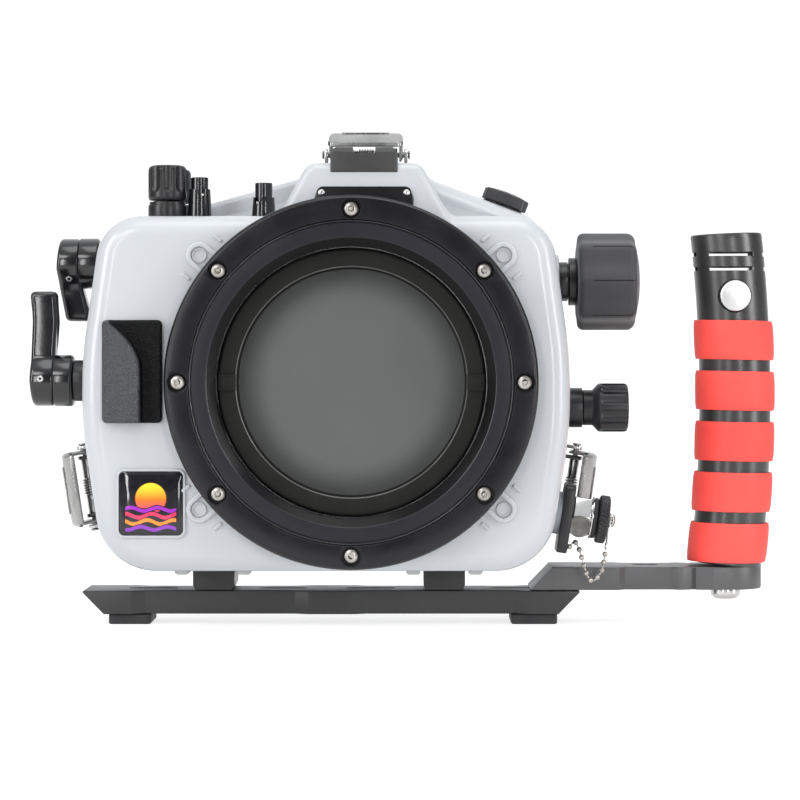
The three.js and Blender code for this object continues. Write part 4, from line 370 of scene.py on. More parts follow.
# %% Give every carried-over node its finish
SLOT_FINISH = {
    "shell_grey": shell_paint, "black_anodised": ring_black, "black_plastic": plastic_black,
    "black_rubber": rubber_black, "tray_grey": tray_anodised, "stainless": stainless,
    "clear_plastic": clear_acrylic, "cap_plastic": cap_plastic, "coral_foam": foam_coral, "badge_gloss": gloss_black}
NODE_SLOT = {name: node.data.materials[0].name for name, node in NODES.items()}
for name, node in NODES.items():
    finish = SLOT_FINISH[NODE_SLOT.get(name, "black_plastic")]
    node.data.materials.clear()
    node.data.materials.append(finish)
print("dressed", len(NODE_SLOT), "nodes by slot")

# %% [markdown]
# ## Shaping
# Most parts of a housing are turned, milled or moulded, so a few plain helpers make nearly everything: a
# profile with softened corners that is spun, an outline that is stacked in layers, and a section that is
# swept along a path. Each returns points and faces in millimetres, and becomes an object only at the end.

# %% Outlines and profiles


def softened(profile, radius, steps=4, closed=False):
    """Rounds the corners of a flat line of points. A point may carry its own radius as a third number."""
    line, count = [], len(profile)
    for i, corner in enumerate(profile):
        here = Vector(corner[:2])
        own = corner[2] if len(corner) > 2 else radius
        if own <= 0 or (not closed and i in (0, count - 1)):
            line.append(tuple(here))
            continue
        before, after = Vector(profile[i - 1][:2]) - here, Vector(profile[(i + 1) % count][:2]) - here
        reach = min(own, before.length * 0.48, after.length * 0.48)
        start, end = here + before.normalized() * reach, here + after.normalized() * reach
        for t in np.linspace(0, 1, steps + 1):
            point = start * (1 - t) ** 2 + here * 2 * t * (1 - t) + end * t ** 2
            line.append(tuple(point))
    return line


def rounded_loop(corners, inset=0.0, steps=6):
    """A closed outline from (x, z, radius) corners, counterclockwise, moved inwards by a distance."""
    loop, count = [], len(corners)
    for i, corner in enumerate(corners):
        here, radius = Vector(corner[:2]), corner[2] if len(corner) > 2 else 0.0
        came = (here - Vector(corners[i - 1][:2])).normalized()
        goes = (Vector(corners[(i + 1) % count][:2]) - here).normalized()
        side_in, side_out = Vector((-came.y, came.x)), Vector((-goes.y, goes.x))
        here = here + (side_in + side_out) * (inset / max(1 + side_in.dot(side_out), 0.2))
        turn = math.atan2(came.x * goes.y - came.y * goes.x, came.dot(goes))
        radius = max(radius - inset if turn > 0 else radius + inset, 0.02)
        centre = here + (side_in + side_out) * (math.copysign(radius, turn) / max(1 + side_in.dot(side_out), 0.2))
        first = math.atan2(-side_in.y * math.copysign(1, turn), -side_in.x * math.copysign(1, turn))
        for t in np.linspace(0, turn, steps + 1):
            loop.append((centre.x + radius * math.cos(first + t), centre.y + radius * math.sin(first + t)))
    return loop


def rectangle(left, right, low, high, radius):
    return [(left, low, radius), (right, low, radius), (right, high, radius), (left, high, radius)]


# %% Solids from outlines, profiles and paths


def together(*forms):
    points, faces = [], []
    for more_points, more_faces in forms:
        base = len(points)
        points += [tuple(p) for p in more_points]
        faces += [tuple(base + i for i in face) for face in more_faces]
    return points, faces


def lofted(rings, cap_start=True, cap_end=True):
    """Rings of equally many points joined by quads, with flat ends."""
    count = len(rings[0])
    points = [tuple(p) for ring in rings for p in ring]
    faces = []
    for k in range(len(rings) - 1):
        a, b = k * count, (k + 1) * count
        faces += [(a + i, a + (i + 1) % count, b + (i + 1) % count, b + i) for i in range(count)]
    if cap_start:
        faces.append(tuple(reversed(range(count))))
    if cap_end:
        faces.append(tuple(range((len(rings) - 1) * count, len(rings) * count)))
    return points, faces


def turned(profile, sides=64):
    """Spins (radius, height) points about the local Z axis. A profile that ends off the axis is a closed ring."""
    closed = profile[0][0] > 0.001 or profile[-1][0] > 0.001
    line = list(profile) + ([profile[0]] if closed else [])
    turn = [2 * math.pi * i / sides for i in range(sides)]
    rings = [[(r * math.cos(a), r * math.sin(a), h) for a in turn] for r, h in line]
    return lofted(rings, False, False)


def lathe(profile, rounding=0.4, steps=3, sides=64, closed=False):
    """A profile with its corners rounded, spun about local Z."""
    return turned(softened(profile, rounding, steps, closed), sides)


def edge_levels(low, high, low_edge, high_edge, steps):
    """(height, inset) pairs that round the lower and the upper edge of a stack, each by a quarter circle."""
    rounding = [(1 - math.sin(a), 1 - math.cos(a)) for a in np.linspace(0, math.pi / 2, steps + 1)]
    levels = [(low + low_edge * drop, low_edge * inset) for drop, inset in reversed(rounding)]
    return levels + [(high - high_edge * drop, high_edge * inset) for drop, inset in rounding]


def slab(corners, low, high, low_edge=0.4, high_edge=0.4, steps=6, edge_steps=4):
    """An outline in local X, Y, from low to high in Z, with both edges rounded."""
    levels = edge_levels(low, high, low_edge, high_edge, edge_steps)
    return lofted([[(x, y, h) for x, y in rounded_loop(corners, inset, steps)] for h, inset in levels])


def offset_loop(loop, inset):
    """Moves every point of a counterclockwise loop inwards, square to its neighbours."""
    line = np.array(loop, float)
    way = np.roll(line, -1, 0) - line
    way /= np.maximum(np.linalg.norm(way, axis=1), 1e-9)[:, None]
    side = np.stack([-way[:, 1], way[:, 0]], 1)
    before = np.roll(side, 1, 0)
    miter = (side + before) / np.maximum(1 + (side * before).sum(1), 0.25)[:, None]
    return [tuple(p) for p in line + miter * inset]


def stacked(loop, low, high, edge=0.3, edge_steps=3):
    """Any smooth loop in local X, Y from low to high, with rounded ends."""
    levels = edge_levels(low, high, edge, edge, edge_steps)
    return lofted([[(x, y, h) for x, y in offset_loop(loop, inset)] for h, inset in levels])


def swept(path, section, closed=False):
    """A flat section carried along a path without twist."""
    path = [Vector(p) for p in path]
    count = len(path)
    ways = []
    for i in range(count):
        before = path[i - 1] if closed or i else path[0]
        after = path[(i + 1) % count] if closed or i < count - 1 else path[-1]
        ways.append((after - before).normalized())
    side = ways[0].orthogonal().normalized()
    if abs(ways[0].y) < 0.9:
        side = Vector((0, 1, 0)).cross(ways[0]).normalized()
    rings = []
    for spot, way in zip(path, ways):
        side = (side - way * side.dot(way)).normalized()
        other = way.cross(side)
        rings.append([tuple(spot + side * u + other * v) for u, v in section])
    if closed:
        rings.append(rings[0])
    return lofted(rings, not closed, not closed)


def circle(radius, sides):
    """Points round a circle, in the plane of local X and Y."""
    turns = [2 * math.pi * i / sides for i in range(sides)]
    return [(radius * math.cos(a), radius * math.sin(a)) for a in turns]


def tube(path, radius, sides=12, closed=False):
    return swept(path, circle(radius, sides), closed)


def block(x0, x1, y0, y1, z0, z1, edge=0.4, corner=0.5):
    """A block with rounded edges, its corners' radius in plan and its edges' radius at top and bottom."""
    return slab(rectangle(x0, x1, y0, y1, max(corner, edge)), z0, z1, edge, edge, steps=4, edge_steps=3)


# %% Putting forms in place
TOWARD_LENS = Matrix(((1, 0, 0, 0), (0, 0, -1, 0), (0, 1, 0, 0), (0, 0, 0, 1)))   # local Z looks at the lens


def moved(form, matrix):
    return [tuple(matrix @ Vector(p)) for p in form[0]], form[1]


def shifted(form, x, y, z):
    return [(p[0] + x, p[1] + y, p[2] + z) for p in form[0]], form[1]


def standing_on(origin, up, across):
    """A place on a surface: local Z along up, local X along across."""
    z = Vector(up).normalized()
    x = (Vector(across) - z * Vector(across).dot(z)).normalized()
    y = z.cross(x)
    o = Vector(origin)
    return Matrix(((x.x, y.x, z.x, o.x), (x.y, y.y, z.y, o.y), (x.z, y.z, z.z, o.z), (0, 0, 0, 1)))


def toward_lens(x, y, z):
    return Matrix.Translation((x, y, z)) @ TOWARD_LENS


# %% Cutting
scratch = bpy.data.collections.new("scratch")
bpy.context.scene.collection.children.link(scratch)


def bare_object(form, clean=True):
    mesh = bpy.data.meshes.new("bare")
    mesh.from_pydata(form[0], [], form[1])
    if clean:
        tidy_mesh(mesh, 1e-4)
    obj = bpy.data.objects.new("bare", mesh)
    scratch.objects.link(obj)
    return obj


def tidy_mesh(mesh, distance):
    work = bmesh.new()
    work.from_mesh(mesh)
    bmesh.ops.remove_doubles(work, verts=work.verts, dist=distance)
    bmesh.ops.dissolve_degenerate(work, edges=work.edges, dist=distance * 0.01)
    bmesh.ops.recalc_face_normals(work, faces=work.faces)
    work.to_mesh(mesh)
    work.free()


def taken_from(obj):
    """The evaluated shape of a scratch object, as points and faces; the object is thrown away."""
    shown = bpy.data.meshes.new_from_object(obj.evaluated_get(bpy.context.evaluated_depsgraph_get()))
    form = [tuple(v.co) for v in shown.vertices], [tuple(f.vertices) for f in shown.polygons]
    bpy.data.meshes.remove(shown)
    bpy.data.objects.remove(obj)
    return form


def carved(form, *tools, operation="DIFFERENCE", solver="EXACT"):
    body = bare_object(form)
    cutters = [bare_object(tool) for tool in tools]
    for cutter in cutters:
        step = body.modifiers.new("cut", "BOOLEAN")
        step.operation, step.solver, step.object = operation, solver, cutter
    result = taken_from(body)
    for cutter in cutters:
        bpy.data.objects.remove(cutter)
    return result


# %% From a form to a piece of the housing


def dressed(mesh, name, finish, body, replaces, sharp):
    smooth_by_angle(mesh, sharp)
    mesh.name = name
    mesh.materials.clear()
    mesh.materials.append(finish)
    obj = bpy.data.objects.new(name, mesh)
    bpy.context.scene.collection.objects.link(obj)
    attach(obj, body)
    if replaces:
        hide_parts(*replaces)
    return obj


def piece(name, form, finish, body, replaces=(), sharp=32):
    """A piece from points in port millimetres: doubles merged, faces outwards, smooth up to an angle."""
    mesh = bpy.data.meshes.new(name)
    mesh.from_pydata([tuple(at(p)) for p in form[0]], [], form[1])
    tidy_mesh(mesh, 4e-6)
    return dressed(mesh, name, finish, body, replaces, sharp)


def repainted(obj, finishes, choose):
    """Gives some faces another finish. choose gets a face's place in port millimetres and its reach from the axis."""
    for finish in finishes:
        obj.data.materials.append(finish)
    for polygon in obj.data.polygons:
        place = (Vector(polygon.center) - PORT) * 1000
        polygon.material_index = choose(place, math.hypot(place.x, place.z))


def smooth_by_angle(mesh, sharp):
    work = bmesh.new()
    work.from_mesh(mesh)
    for edge in work.edges:
        edge.smooth = len(edge.link_faces) == 2 and edge.calc_face_angle() < math.radians(sharp)
    for face in work.faces:
        face.smooth = True
    work.to_mesh(mesh)
    work.free()


print("helpers ready")

# %% [markdown]
# ## Front shell
# The shell is one light grey moulding: a barrel with a big rounded front edge, a hump over the port for the
# finder, and two roofs that slope from the hump to the deck. Seen from the port's middle, each of these
# outlines is met once in every direction, so the whole skin is a radius for each angle and depth. Taking the
# largest radius joins them, and a soft maximum leaves the hollow fillets that a mould has. Booleans would
# leave a hard seam there instead.

# %% Outlines of the shell, from the front
BARREL = [(-125.5, -95.8, 31), (99.5, -95.8, 31), (110.75, -22, 198), (110.75, 12, 217),
          (100.7, 84.3, 23), (-126.7, 84.3, 23), (-136.75, 12, 217), (-136.75, -22, 198)]
HUMP = [(-36.7, -20, 5), (49.3, -20, 5), (49.3, 84.3, 20), (35, 111, 8), (-22.4, 111, 8), (-36.7, 84.3, 20)]
LEFT_ROOF = [(-112.6, -20, 5), (22, -20, 5), (22, 107.5, 3), (-29.5, 107.5, 12), (-112.6, 84.3, 12)]
RIGHT_ROOF = [(-18, -20, 5), (96.7, -20, 5), (96.7, 84.3, 12), (39.4, 105.9, 12), (-18, 105.9, 3)]
SHELL_FRONT, SHELL_BACK, HUMP_FRONT, LEFT_ROOF_FRONT, RIGHT_ROOF_FRONT = 11.3, 112.0, 13.0, 89.0, 50.0
WALL, BARREL_EDGE, SLEEVE = 4.5, 10, 76.3   # wall, radius of the front edge, hole for the ring's sleeve
ANGLES = np.linspace(0, 2 * np.pi, 1024, endpoint=False)


def reach_of(corners, inset):
    """How far a rounded outline is from the port's middle, for every angle."""
    loop = np.array(rounded_loop(corners, inset, steps=14))
    turn = np.unwrap(np.arctan2(loop[:, 1], loop[:, 0]))
    keep = np.concatenate(([True], np.diff(turn) > 1e-9))
    loop, turn = loop[keep], turn[keep]
    loop, turn = np.vstack([loop, loop[:1]]), np.append(turn, turn[0] + 2 * np.pi)
    asked = (ANGLES - turn[0]) % (2 * np.pi) + turn[0]
    k = np.clip(np.searchsorted(turn, asked, side="right") - 1, 0, len(turn) - 2)
    a, b = loop[k], loop[k + 1]
    step = b - a
    way = np.stack([np.cos(ANGLES), np.sin(ANGLES)], 1)
    return (a[:, 0] * step[:, 1] - a[:, 1] * step[:, 0]) / (way[:, 0] * step[:, 1] - way[:, 1] * step[:, 0])


def soft_max(a, b, width):
    share = np.clip(0.5 + 0.5 * (a - b) / width, 0, 1)
    return b * (1 - share) + a * share + width * share * (1 - share) * 0.9


def edge_inset(y, front, depth, inset):
    """How far an outline has shrunk at depth y, on a front edge that is a quarter of an ellipse."""
    t = min(max((y - front) / depth, 0.0), 1.0)
    return inset * (1 - math.sqrt(max(1 - (1 - t) ** 2, 0.0)))


# outline, where it starts, depth and inset of its front edge, width of the fillet that joins it to the rest
RISES = ((HUMP, HUMP_FRONT, 5, 4, 9.0), (LEFT_ROOF, LEFT_ROOF_FRONT, 4, 3, 5.0),
         (RIGHT_ROOF, RIGHT_ROOF_FRONT, 16, 8, 7.0))


def skin(y, behind, inset=0.0):
    """The shell's outside at depth y. behind says whether parts that start just here are counted."""
    radius = reach_of(BARREL, inset + edge_inset(y, SHELL_FRONT, BARREL_EDGE, BARREL_EDGE))
    for corners, front, depth, shrink, blend in RISES:
        if y > front or (y == front and behind):
            radius = soft_max(radius, reach_of(corners, inset + edge_inset(y, front, depth, shrink)), blend)
    return radius


print("widest reach", round(float(skin(SHELL_BACK, True).max()), 1))

# %% Spin the skin, the inner wall and the rim into one closed shell


def shell_form():
    quarter = np.linspace(0, math.pi / 2, 12)
    depths = [SHELL_FRONT + BARREL_EDGE * (1 - math.cos(a)) for a in quarter] + [18.0, 30.0, 40.0, 78.0, 102.0, 111.6]
    for (_, front, depth, _, _), turns in zip(RISES, (quarter[1::2], quarter[1::2], quarter[1:])):
        depths += [front + depth * (1 - math.cos(a)) for a in turns]
    slices = [(y, True) for y in depths] + [(front, behind) for _, front, _, _, _ in RISES for behind in (False, True)]
    rings = []

    def ring(radius, y):
        rings.append([(r * math.cos(a), y, r * math.sin(a)) for r, a in zip(radius, ANGLES)])

    for y in (SHELL_FRONT + WALL, SHELL_FRONT):
        ring(np.full(len(ANGLES), SLEEVE), y)
    for y, behind in sorted(set(slices)):
        ring(skin(y, behind), y)
    ring(skin(SHELL_BACK, True) - 0.4, SHELL_BACK)
    ring(skin(SHELL_BACK, True, WALL), SHELL_BACK)
    for y in (100.0, 60.0, 25.0, SHELL_FRONT + WALL + 4):
        ring(skin(max(y, 66.0) if y > 55 else 49.0, True, WALL) if y > 30 else reach_of(BARREL, WALL), y)
    ring(reach_of(BARREL, WALL + 4), SHELL_FRONT + WALL)
    rings.append(rings[0])
    return lofted(rings, False, False)


# %% Raised details on the shell's front
def facing(corners, front, back, front_edge=0.4, back_edge=0.02, steps=6):
    """An outline in x, z between two depths, its front edge rounded."""
    return moved(slab(corners, -back, -front, back_edge, front_edge, steps), TOWARD_LENS)


LOOP_TURN = math.atan2(64, 76.6)
LOOP_REACH = math.hypot(64, 76.6)
BEAD = softened([(-1.3, -0.6, 0), (-1.3, 1.55), (1.3, 1.55), (1.3, -0.6, 0)], 0.9, 5)


def spun_about_port(form, turn):
    return moved(form, Matrix.Rotation(-turn, 4, "Y"))


def boss_loop():
    """A raised U with its open end at the ring, and a short rib on each side."""
    middle = 5.5
    path = [(LOOP_REACH - 11.2, 0, -middle)]
    path += [(LOOP_REACH + middle * math.sin(a), 0, -middle * math.cos(a)) for a in np.linspace(0, math.pi, 25)]
    path += [(LOOP_REACH - 11.2, 0, middle)]
    rings = []
    for i, spot in enumerate(path):
        before, after = Vector(path[max(i - 1, 0)]), Vector(path[min(i + 1, len(path) - 1)])
        way = (after - before).normalized()
        out = Vector((way.z, 0, -way.x))
        rings.append([tuple(Vector(spot) + out * u + Vector((0, SHELL_FRONT - v, 0))) for u, v in BEAD])
    rib = rectangle(LOOP_REACH - 4.2, LOOP_REACH + 1.2, -0.9, 0.9, 0.85)
    rib = facing(rib, SHELL_FRONT - 1.05, SHELL_FRONT + 1, 0.6)
    dimple = turned([(3.9, -0.6), (3.9, 0.35), (3.2, 0.7), (2.9, 0.55), (2.9, -0.6)], 32)
    dimple = shifted(moved(dimple, TOWARD_LENS), LOOP_REACH, SHELL_FRONT, 0)
    return together(lofted(rings), dimple, *(shifted(rib, 0, 0, side * 12.5) for side in (-1, 1)))


def badge_lip():
    """The raised frame round the badge: a square lip with a rounded crest."""
    def loop(y, half, radius, inset=0.0):
        corners = rectangle(-101 - half, -101 + half, -61 - half, -61 + half, radius)
        return [(x, y, z) for x, z in rounded_loop(corners, inset, 8)]
    foot, top = SHELL_FRONT + 1, SHELL_FRONT - 1.2
    lip = [loop(foot, 17.6, 4.2), loop(SHELL_FRONT - 0.7, 17.6, 4.2), loop(top, 17.6, 4.2, 0.5), loop(top, 16.3, 2.9),
           loop(foot, 16.3, 2.9)]
    return lofted(lip + [lip[0]], False, False)


def raised_details():
    turns = (LOOP_TURN, math.pi - LOOP_TURN, math.pi + LOOP_TURN, -LOOP_TURN)
    pieces = [spun_about_port(boss_loop(), turn) for turn in turns] + [badge_lip()]
    for x in (-72.4, 47.3):
        for side in (-1, 1):
            low, high = sorted((x + side * 23.2, x + side * 12.4))
            foot = [(low, -90.0, 0.5), (high, -90.0, 0.5), (high - (4 if side > 0 else 0), -99.8, 1.5),
                    (low + (0 if side > 0 else 4), -99.8, 1.5)]
            pieces.append(facing(foot[::-1], 48, 98, 1.0, 1.0))
    boss = lathe([(0, -4, 0), (14, -4, 0), (14, 1.5), (0, 1.5, 0)], 0.8, 4)
    for side, y, z, wall_x in ((-1, 78, 62, 129.8), (1, 60, 52, 105.2)):
        pieces.append(moved(boss, standing_on((side * wall_x, y, z), (side, 0, 0), (0, 1, 0))))
    return together(*pieces)


front_shell = piece("front_shell_moulding", shell_form(), shell_paint, "housing", ["front_shell"],
                    sharp=40)
details = piece("shell_loops_and_pads", raised_details(), shell_paint, "housing", sharp=35)
print("shell faces", len(front_shell.data.polygons), "raised details", len(details.data.polygons))

# %% [markdown]
# ## Port ring
# The ring is turned aluminium, so one profile spun about the port's axis gives every step, lip and groove.
# The counterbores for its eight screws are cut afterwards with a boolean, as a mill would. Every corner is
# rounded a little, because black anodising only reads as metal by the bright lines along its edges. The bore
# gets a darker copy of the anodising as painted shade, and the small ridge a paler one as a painted highlight line.

# %% Ring with its counterbores
SCREW_TURNS = [0, 40, 90, 140, 180, 220, 270, 320]
SCREW_CIRCLE = 87.0


def on_screw_circle(turn, y=0.0):
    return (SCREW_CIRCLE * math.cos(math.radians(turn)), y, SCREW_CIRCLE * math.sin(math.radians(turn)))


def spun(profile, sides=192):
    """Spins (radius, depth) points about the port's axis."""
    return moved(turned([(r, -y) for r, y in profile], sides), TOWARD_LENS)


def port_ring_form():
    outer = [(94, 11.0, 0), (76, 11.0, 0), (76, 33, 0.5), (68.5, 33, 0.5), (68.5, 5.2, 0), (73, 1.0, 0.6),
             (80.0, 1.0, 0.25), (80.25, 1.75, 0.1), (80.7, 1.75, 0.1), (80.9, 1.1, 0.15), (81.15, 1.1, 0.1),
             (81.3, 1.75, 0.1), (81.6, 1.75, 0.1), (81.9, 0.0, 0.3), (92.6, 0.0, 0.7), (94, 1.6, 0.7)]
    body = spun(softened(outer, 0.4, 3, closed=True))
    seat = moved(turned([(0, -3.6), (4.9, -3.6), (4.9, -0.5), (5.3, 0.02), (5.3, 3), (0, 3)], 40), TOWARD_LENS)
    seats = [shifted(seat, *on_screw_circle(turn)) for turn in SCREW_TURNS]
    return carved(body, together(*seats))


port_ring = piece("port_ring_turned", port_ring_form(), ring_black, "housing", ["port_ring"],
                  sharp=28)


def ring_finish(place, radius):
    """1 on the collar; 2 in the bore, a darker copy of the anodising as painted shade; 3 on the small ridge between
    collar and face, a paler metal as a painted highlight line; 0 elsewhere.
    """
    if 72.8 < radius < 80.2 and place.y < 2:
        return 1
    if radius < 72.5:
        return 2
    return 3 if 80.6 < radius < 81.3 and 1.0 < place.y < 1.5 else 0


# The bore's finish is painted shade, and the ridge's finish is a painted highlight line.
repainted(port_ring, (collar_black, bore_black, ridge_black), ring_finish)
print("ring faces", len(port_ring.data.polygons))

# %% [markdown]
# ## The ring's screws
# Eight equal stainless button heads sit in those counterbores. One head is modelled with its hexagon socket,
# and a Geometry Nodes tree copies it to a list of places with a different turn for each, as screws end up
# when they are tightened. The same tree places the nameplate's screws, so the part and its turn are inputs.

# %% A tree that copies one part to many places


def new_tree(name, inputs):
    """A Geometry Nodes tree with a mesh in, a finish, the named inputs and a mesh out."""
    tree = bpy.data.node_groups.new(name, "GeometryNodeTree")
    for label, kind in {"Geometry": "Geometry", **inputs, "Finish": "Material"}.items():
        tree.interface.new_socket(label, in_out="INPUT", socket_type="NodeSocket" + kind)
    tree.interface.new_socket("Geometry", in_out="OUTPUT", socket_type="NodeSocketGeometry")
    return tree, tree.nodes.new("NodeGroupInput").outputs


def some_nodes(tree, *kinds):
    return [tree.nodes.new("GeometryNode" + kind) for kind in kinds]


def linked(tree, *pairs):
    for output, node, label in pairs:
        tree.links.new(output, node.inputs[label])


def painted_result(tree, made, finish):
    """The end of every tree: instances made real, the finish set, and the result given out."""
    real, painted = some_nodes(tree, "RealizeInstances", "SetMaterial")
    linked(tree, (made, real, "Geometry"), (real.outputs["Geometry"], painted, "Geometry"),
           (finish, painted, "Material"),
           (painted.outputs["Geometry"], tree.nodes.new("NodeGroupOutput"), "Geometry"))
    return tree


def copies_tree(name):
    """Places the 'Part' object on every point of the mesh, turned about an axis by a random angle."""
    tree, given = new_tree(name, {"Part": "Object", "Turn Axis": "Vector", "Turn Range": "Float"})
    source, copies = some_nodes(tree, "ObjectInfo", "InstanceOnPoints")
    chance = tree.nodes.new("FunctionNodeRandomValue")
    chance.data_type = "FLOAT"
    chance.inputs["Seed"].default_value = 7
    turn = tree.nodes.new("FunctionNodeAxisAngleToRotation")
    linked(tree, (given["Part"], source, "Object"), (given["Turn Range"], chance, 3),
           (given["Turn Axis"], turn, "Axis"), (chance.outputs[1], turn, "Angle"),
           (given["Geometry"], copies, "Points"), (source.outputs["Geometry"], copies, "Instance"),
           (turn.outputs["Rotation"], copies, "Rotation"))
    return painted_result(tree, copies.outputs["Instances"], given["Finish"])


COPIES = copies_tree("copies_on_points")


def run_tree(obj, tree, values):
    """Adds the tree, sets its inputs by identifier, and returns the evaluated result as a plain mesh."""
    step = obj.modifiers.new(tree.name, "NODES")
    step.node_group = tree
    for item in tree.interface.items_tree:
        if item.item_type == "SOCKET" and item.in_out == "INPUT" and item.name in values:
            step[item.identifier] = values[item.name]
    obj.data.update()
    mesh = bpy.data.meshes.new_from_object(obj.evaluated_get(bpy.context.evaluated_depsgraph_get()))
    obj.modifiers.remove(step)
    return mesh


def copied(name, form, places, finish, body, turn_range=0.0, sharp=32):
    """One form, modelled round its own origin in millimetres, copied to places in port millimetres."""
    part_mesh = bpy.data.meshes.new(name + "_part")
    part_mesh.from_pydata([tuple(Vector(p) / 1000) for p in form[0]], [], form[1])
    tidy_mesh(part_mesh, 2e-6)
    part = bpy.data.objects.new(name + "_part", part_mesh)
    holder_mesh = bpy.data.meshes.new(name + "_points")
    holder_mesh.from_pydata([tuple(at(p)) for p in places], [], [])
    holder = bpy.data.objects.new(name + "_points", holder_mesh)
    for temporary in (part, holder):
        scratch.objects.link(temporary)
    values = {"Part": part, "Turn Axis": (0, 1, 0), "Turn Range": turn_range, "Finish": finish}
    mesh = run_tree(holder, COPIES, values)
    for temporary in (part, holder):
        bpy.data.objects.remove(temporary)
    return dressed(mesh, name, finish, body, (), sharp)


# %% Button-head screws on the ring


def hexagon(radius, low, high):
    """A prism with six sides, to cut a socket."""
    return lofted([[(x, y, z) for x, y in circle(radius, 6)] for z in (low, high)])


def button_head(radius, rim_height, crown, socket, socket_depth):
    """A domed head on local Z = 0, with a hexagon socket, the cone that its drill left and a countersink."""
    rise, floor_z = crown - rim_height, crown - socket_depth
    dome = [(0, -0.4), (radius, -0.4), (radius, rim_height)]
    dome += [(radius * math.cos(a), rim_height + rise * math.sin(a)) for a in np.linspace(0.15, math.pi / 2 - 0.3, 8)]
    bit = hexagon(socket, floor_z, crown + 1)
    cone = turned([(0, floor_z - 0.5), (socket * 0.5, floor_z + 0.05), (0, floor_z + 0.05)], 18)
    countersink = [(0, crown - 0.3), (socket * 0.95, crown - 0.3), (socket * 1.3, crown + 0.1), (0, crown + 0.1)]
    return carved(turned(dome + [(0, crown)], 36), bit, cone, turned(countersink, 30))


def socket_finish(place, _):
    """1 on the faces inside a screw's socket, which take a dark finish as painted shade, 0 elsewhere."""
    off_centre = min(math.hypot(place.x - s[0], place.z - s[2]) for s in map(on_screw_circle, SCREW_TURNS))
    return 1 if place.y > 1.3 and 0.6 < off_centre < 1.85 else 0


ring_screw = moved(button_head(4.1, 0.7, 2.5, 1.75, 1.7), TOWARD_LENS)
screw_places = [on_screw_circle(turn, 3.3) for turn in SCREW_TURNS]
ring_screws = copied("ring_screws", ring_screw, screw_places, screw_steel, "housing", turn_range=6.28,
                     sharp=38)
# Painted shade: a dark finish on the faces inside the sockets stands in for the shade in them.
socket_shade = make_finish("socket_shade", (0.02, 0.02, 0.018), (0.035, 0.034, 0.031), (0.5, 0.6), metal=0.6,
                           drift=200, grain=2500)
repainted(ring_screws, [socket_shade], socket_finish)
print("screw faces", len(ring_screws.data.polygons))

# %% [markdown]
# Inside the shell a clamp ring takes the screws' threads. Nobody sees it with the cap in place, but it shows
# through the clear back, so it gets its chamfers and the eight shanks.

# %% Clamp ring
clamp = spun(softened([(79, 16.1), (90, 16.1), (90, 19.1), (79, 19.1)], 0.4, 2, closed=True), 128)
shank = moved(lathe([(0, -19.05, 0), (2, -19.05), (2, -3.2, 0), (0, -3.2, 0)], 0.3, 2, 20), TOWARD_LENS)
shanks = [shifted(shank, *on_screw_circle(turn)) for turn in SCREW_TURNS]
piece("clamp_ring_turned", together(clamp, *shanks), stainless, "housing", ["clamp_ring_and_screws"])

# %% [markdown]
# ## Body cap
# With no lens port fitted, a moulded cap closes the bore. It has a broad dark rim, a sharp step down to a
# grey disc, and two finger tabs. The disc is slightly dished with a fine grain. A spherical gradient about
# the port's axis paints shade on it: dark at its edge, where the bore's wall shades it, and paler in the middle.
# A paler finish on the sharp step paints its highlight line.

# %% Cap and its finish


def cap_form():
    profile = [(0, 21.4, 0), (30, 21.3, 0), (52, 21.0, 0), (57.6, 20.4, 0.8), (58.1, 12.45, 0.1), (58.65, 12.0, 0.1),
               (66.9, 12.0, 0.8), (68.15, 13.4, 0.8), (68.15, 25, 0.5), (58.15, 25, 0.5), (58.15, 23.5, 0.5),
               (0, 23.5, 0)]
    disc = spun(softened(profile, 0.5, 3), 160)
    tabs = []
    for side in (-1, 1):
        inner, outer = sorted((side * 58.35, side * 67.4))
        tabs.append(block(inner, outer, 10.4, 13.2, -4.2, 4.2, 0.35, 0.6))
        tabs.append(block(inner + 1.4, outer - 1.4, 10.15, 11, -2.9, 2.9, 0.25, 0.4))
    return together(disc, *tabs)


def cap_bore_shade(material):
    """Paints shade on the cap's disc, darker towards its edge where the bore shades it, with the port's axis as the
    gradient's middle.
    """
    tree = material.node_tree
    place = tree.nodes.new("ShaderNodeTexCoord")
    centre = tree.nodes.new("ShaderNodeMapping")
    centre.inputs["Location"].default_value = (-PORT.x * 17.2, 0, -PORT.z * 17.2)
    centre.inputs["Scale"].default_value = (17.2, 0, 17.2)
    tree.links.new(place.outputs["Object"], centre.inputs["Vector"])
    gradient = tree.nodes.new("ShaderNodeTexGradient")
    gradient.gradient_type = "SPHERICAL"
    tree.links.new(centre.outputs["Vector"], gradient.inputs["Vector"])
    ramp = tree.nodes.new("ShaderNodeMapRange")
    ramp.interpolation_type = "SMOOTHSTEP"
    ramp.inputs["From Min"].default_value, ramp.inputs["From Max"].default_value = 0.0, 0.3
    ramp.inputs["To Min"].default_value, ramp.inputs["To Max"].default_value = 0.13, 1.0
    tree.links.new(gradient.outputs["Fac"], ramp.inputs["Value"])
    mix = tree.nodes.new("ShaderNodeMix")
    mix.data_type, mix.blend_type = "RGBA", "MULTIPLY"
    mix.inputs["Factor"].default_value = 1.0
    shader = tree.nodes["Principled BSDF"]
    colour = shader.inputs["Base Color"].links[0].from_socket
    tree.links.new(colour, mix.inputs["A"])
    tree.links.new(ramp.outputs["Result"], mix.inputs["B"])
    tree.links.new(mix.outputs["Result"], shader.inputs["Base Color"])


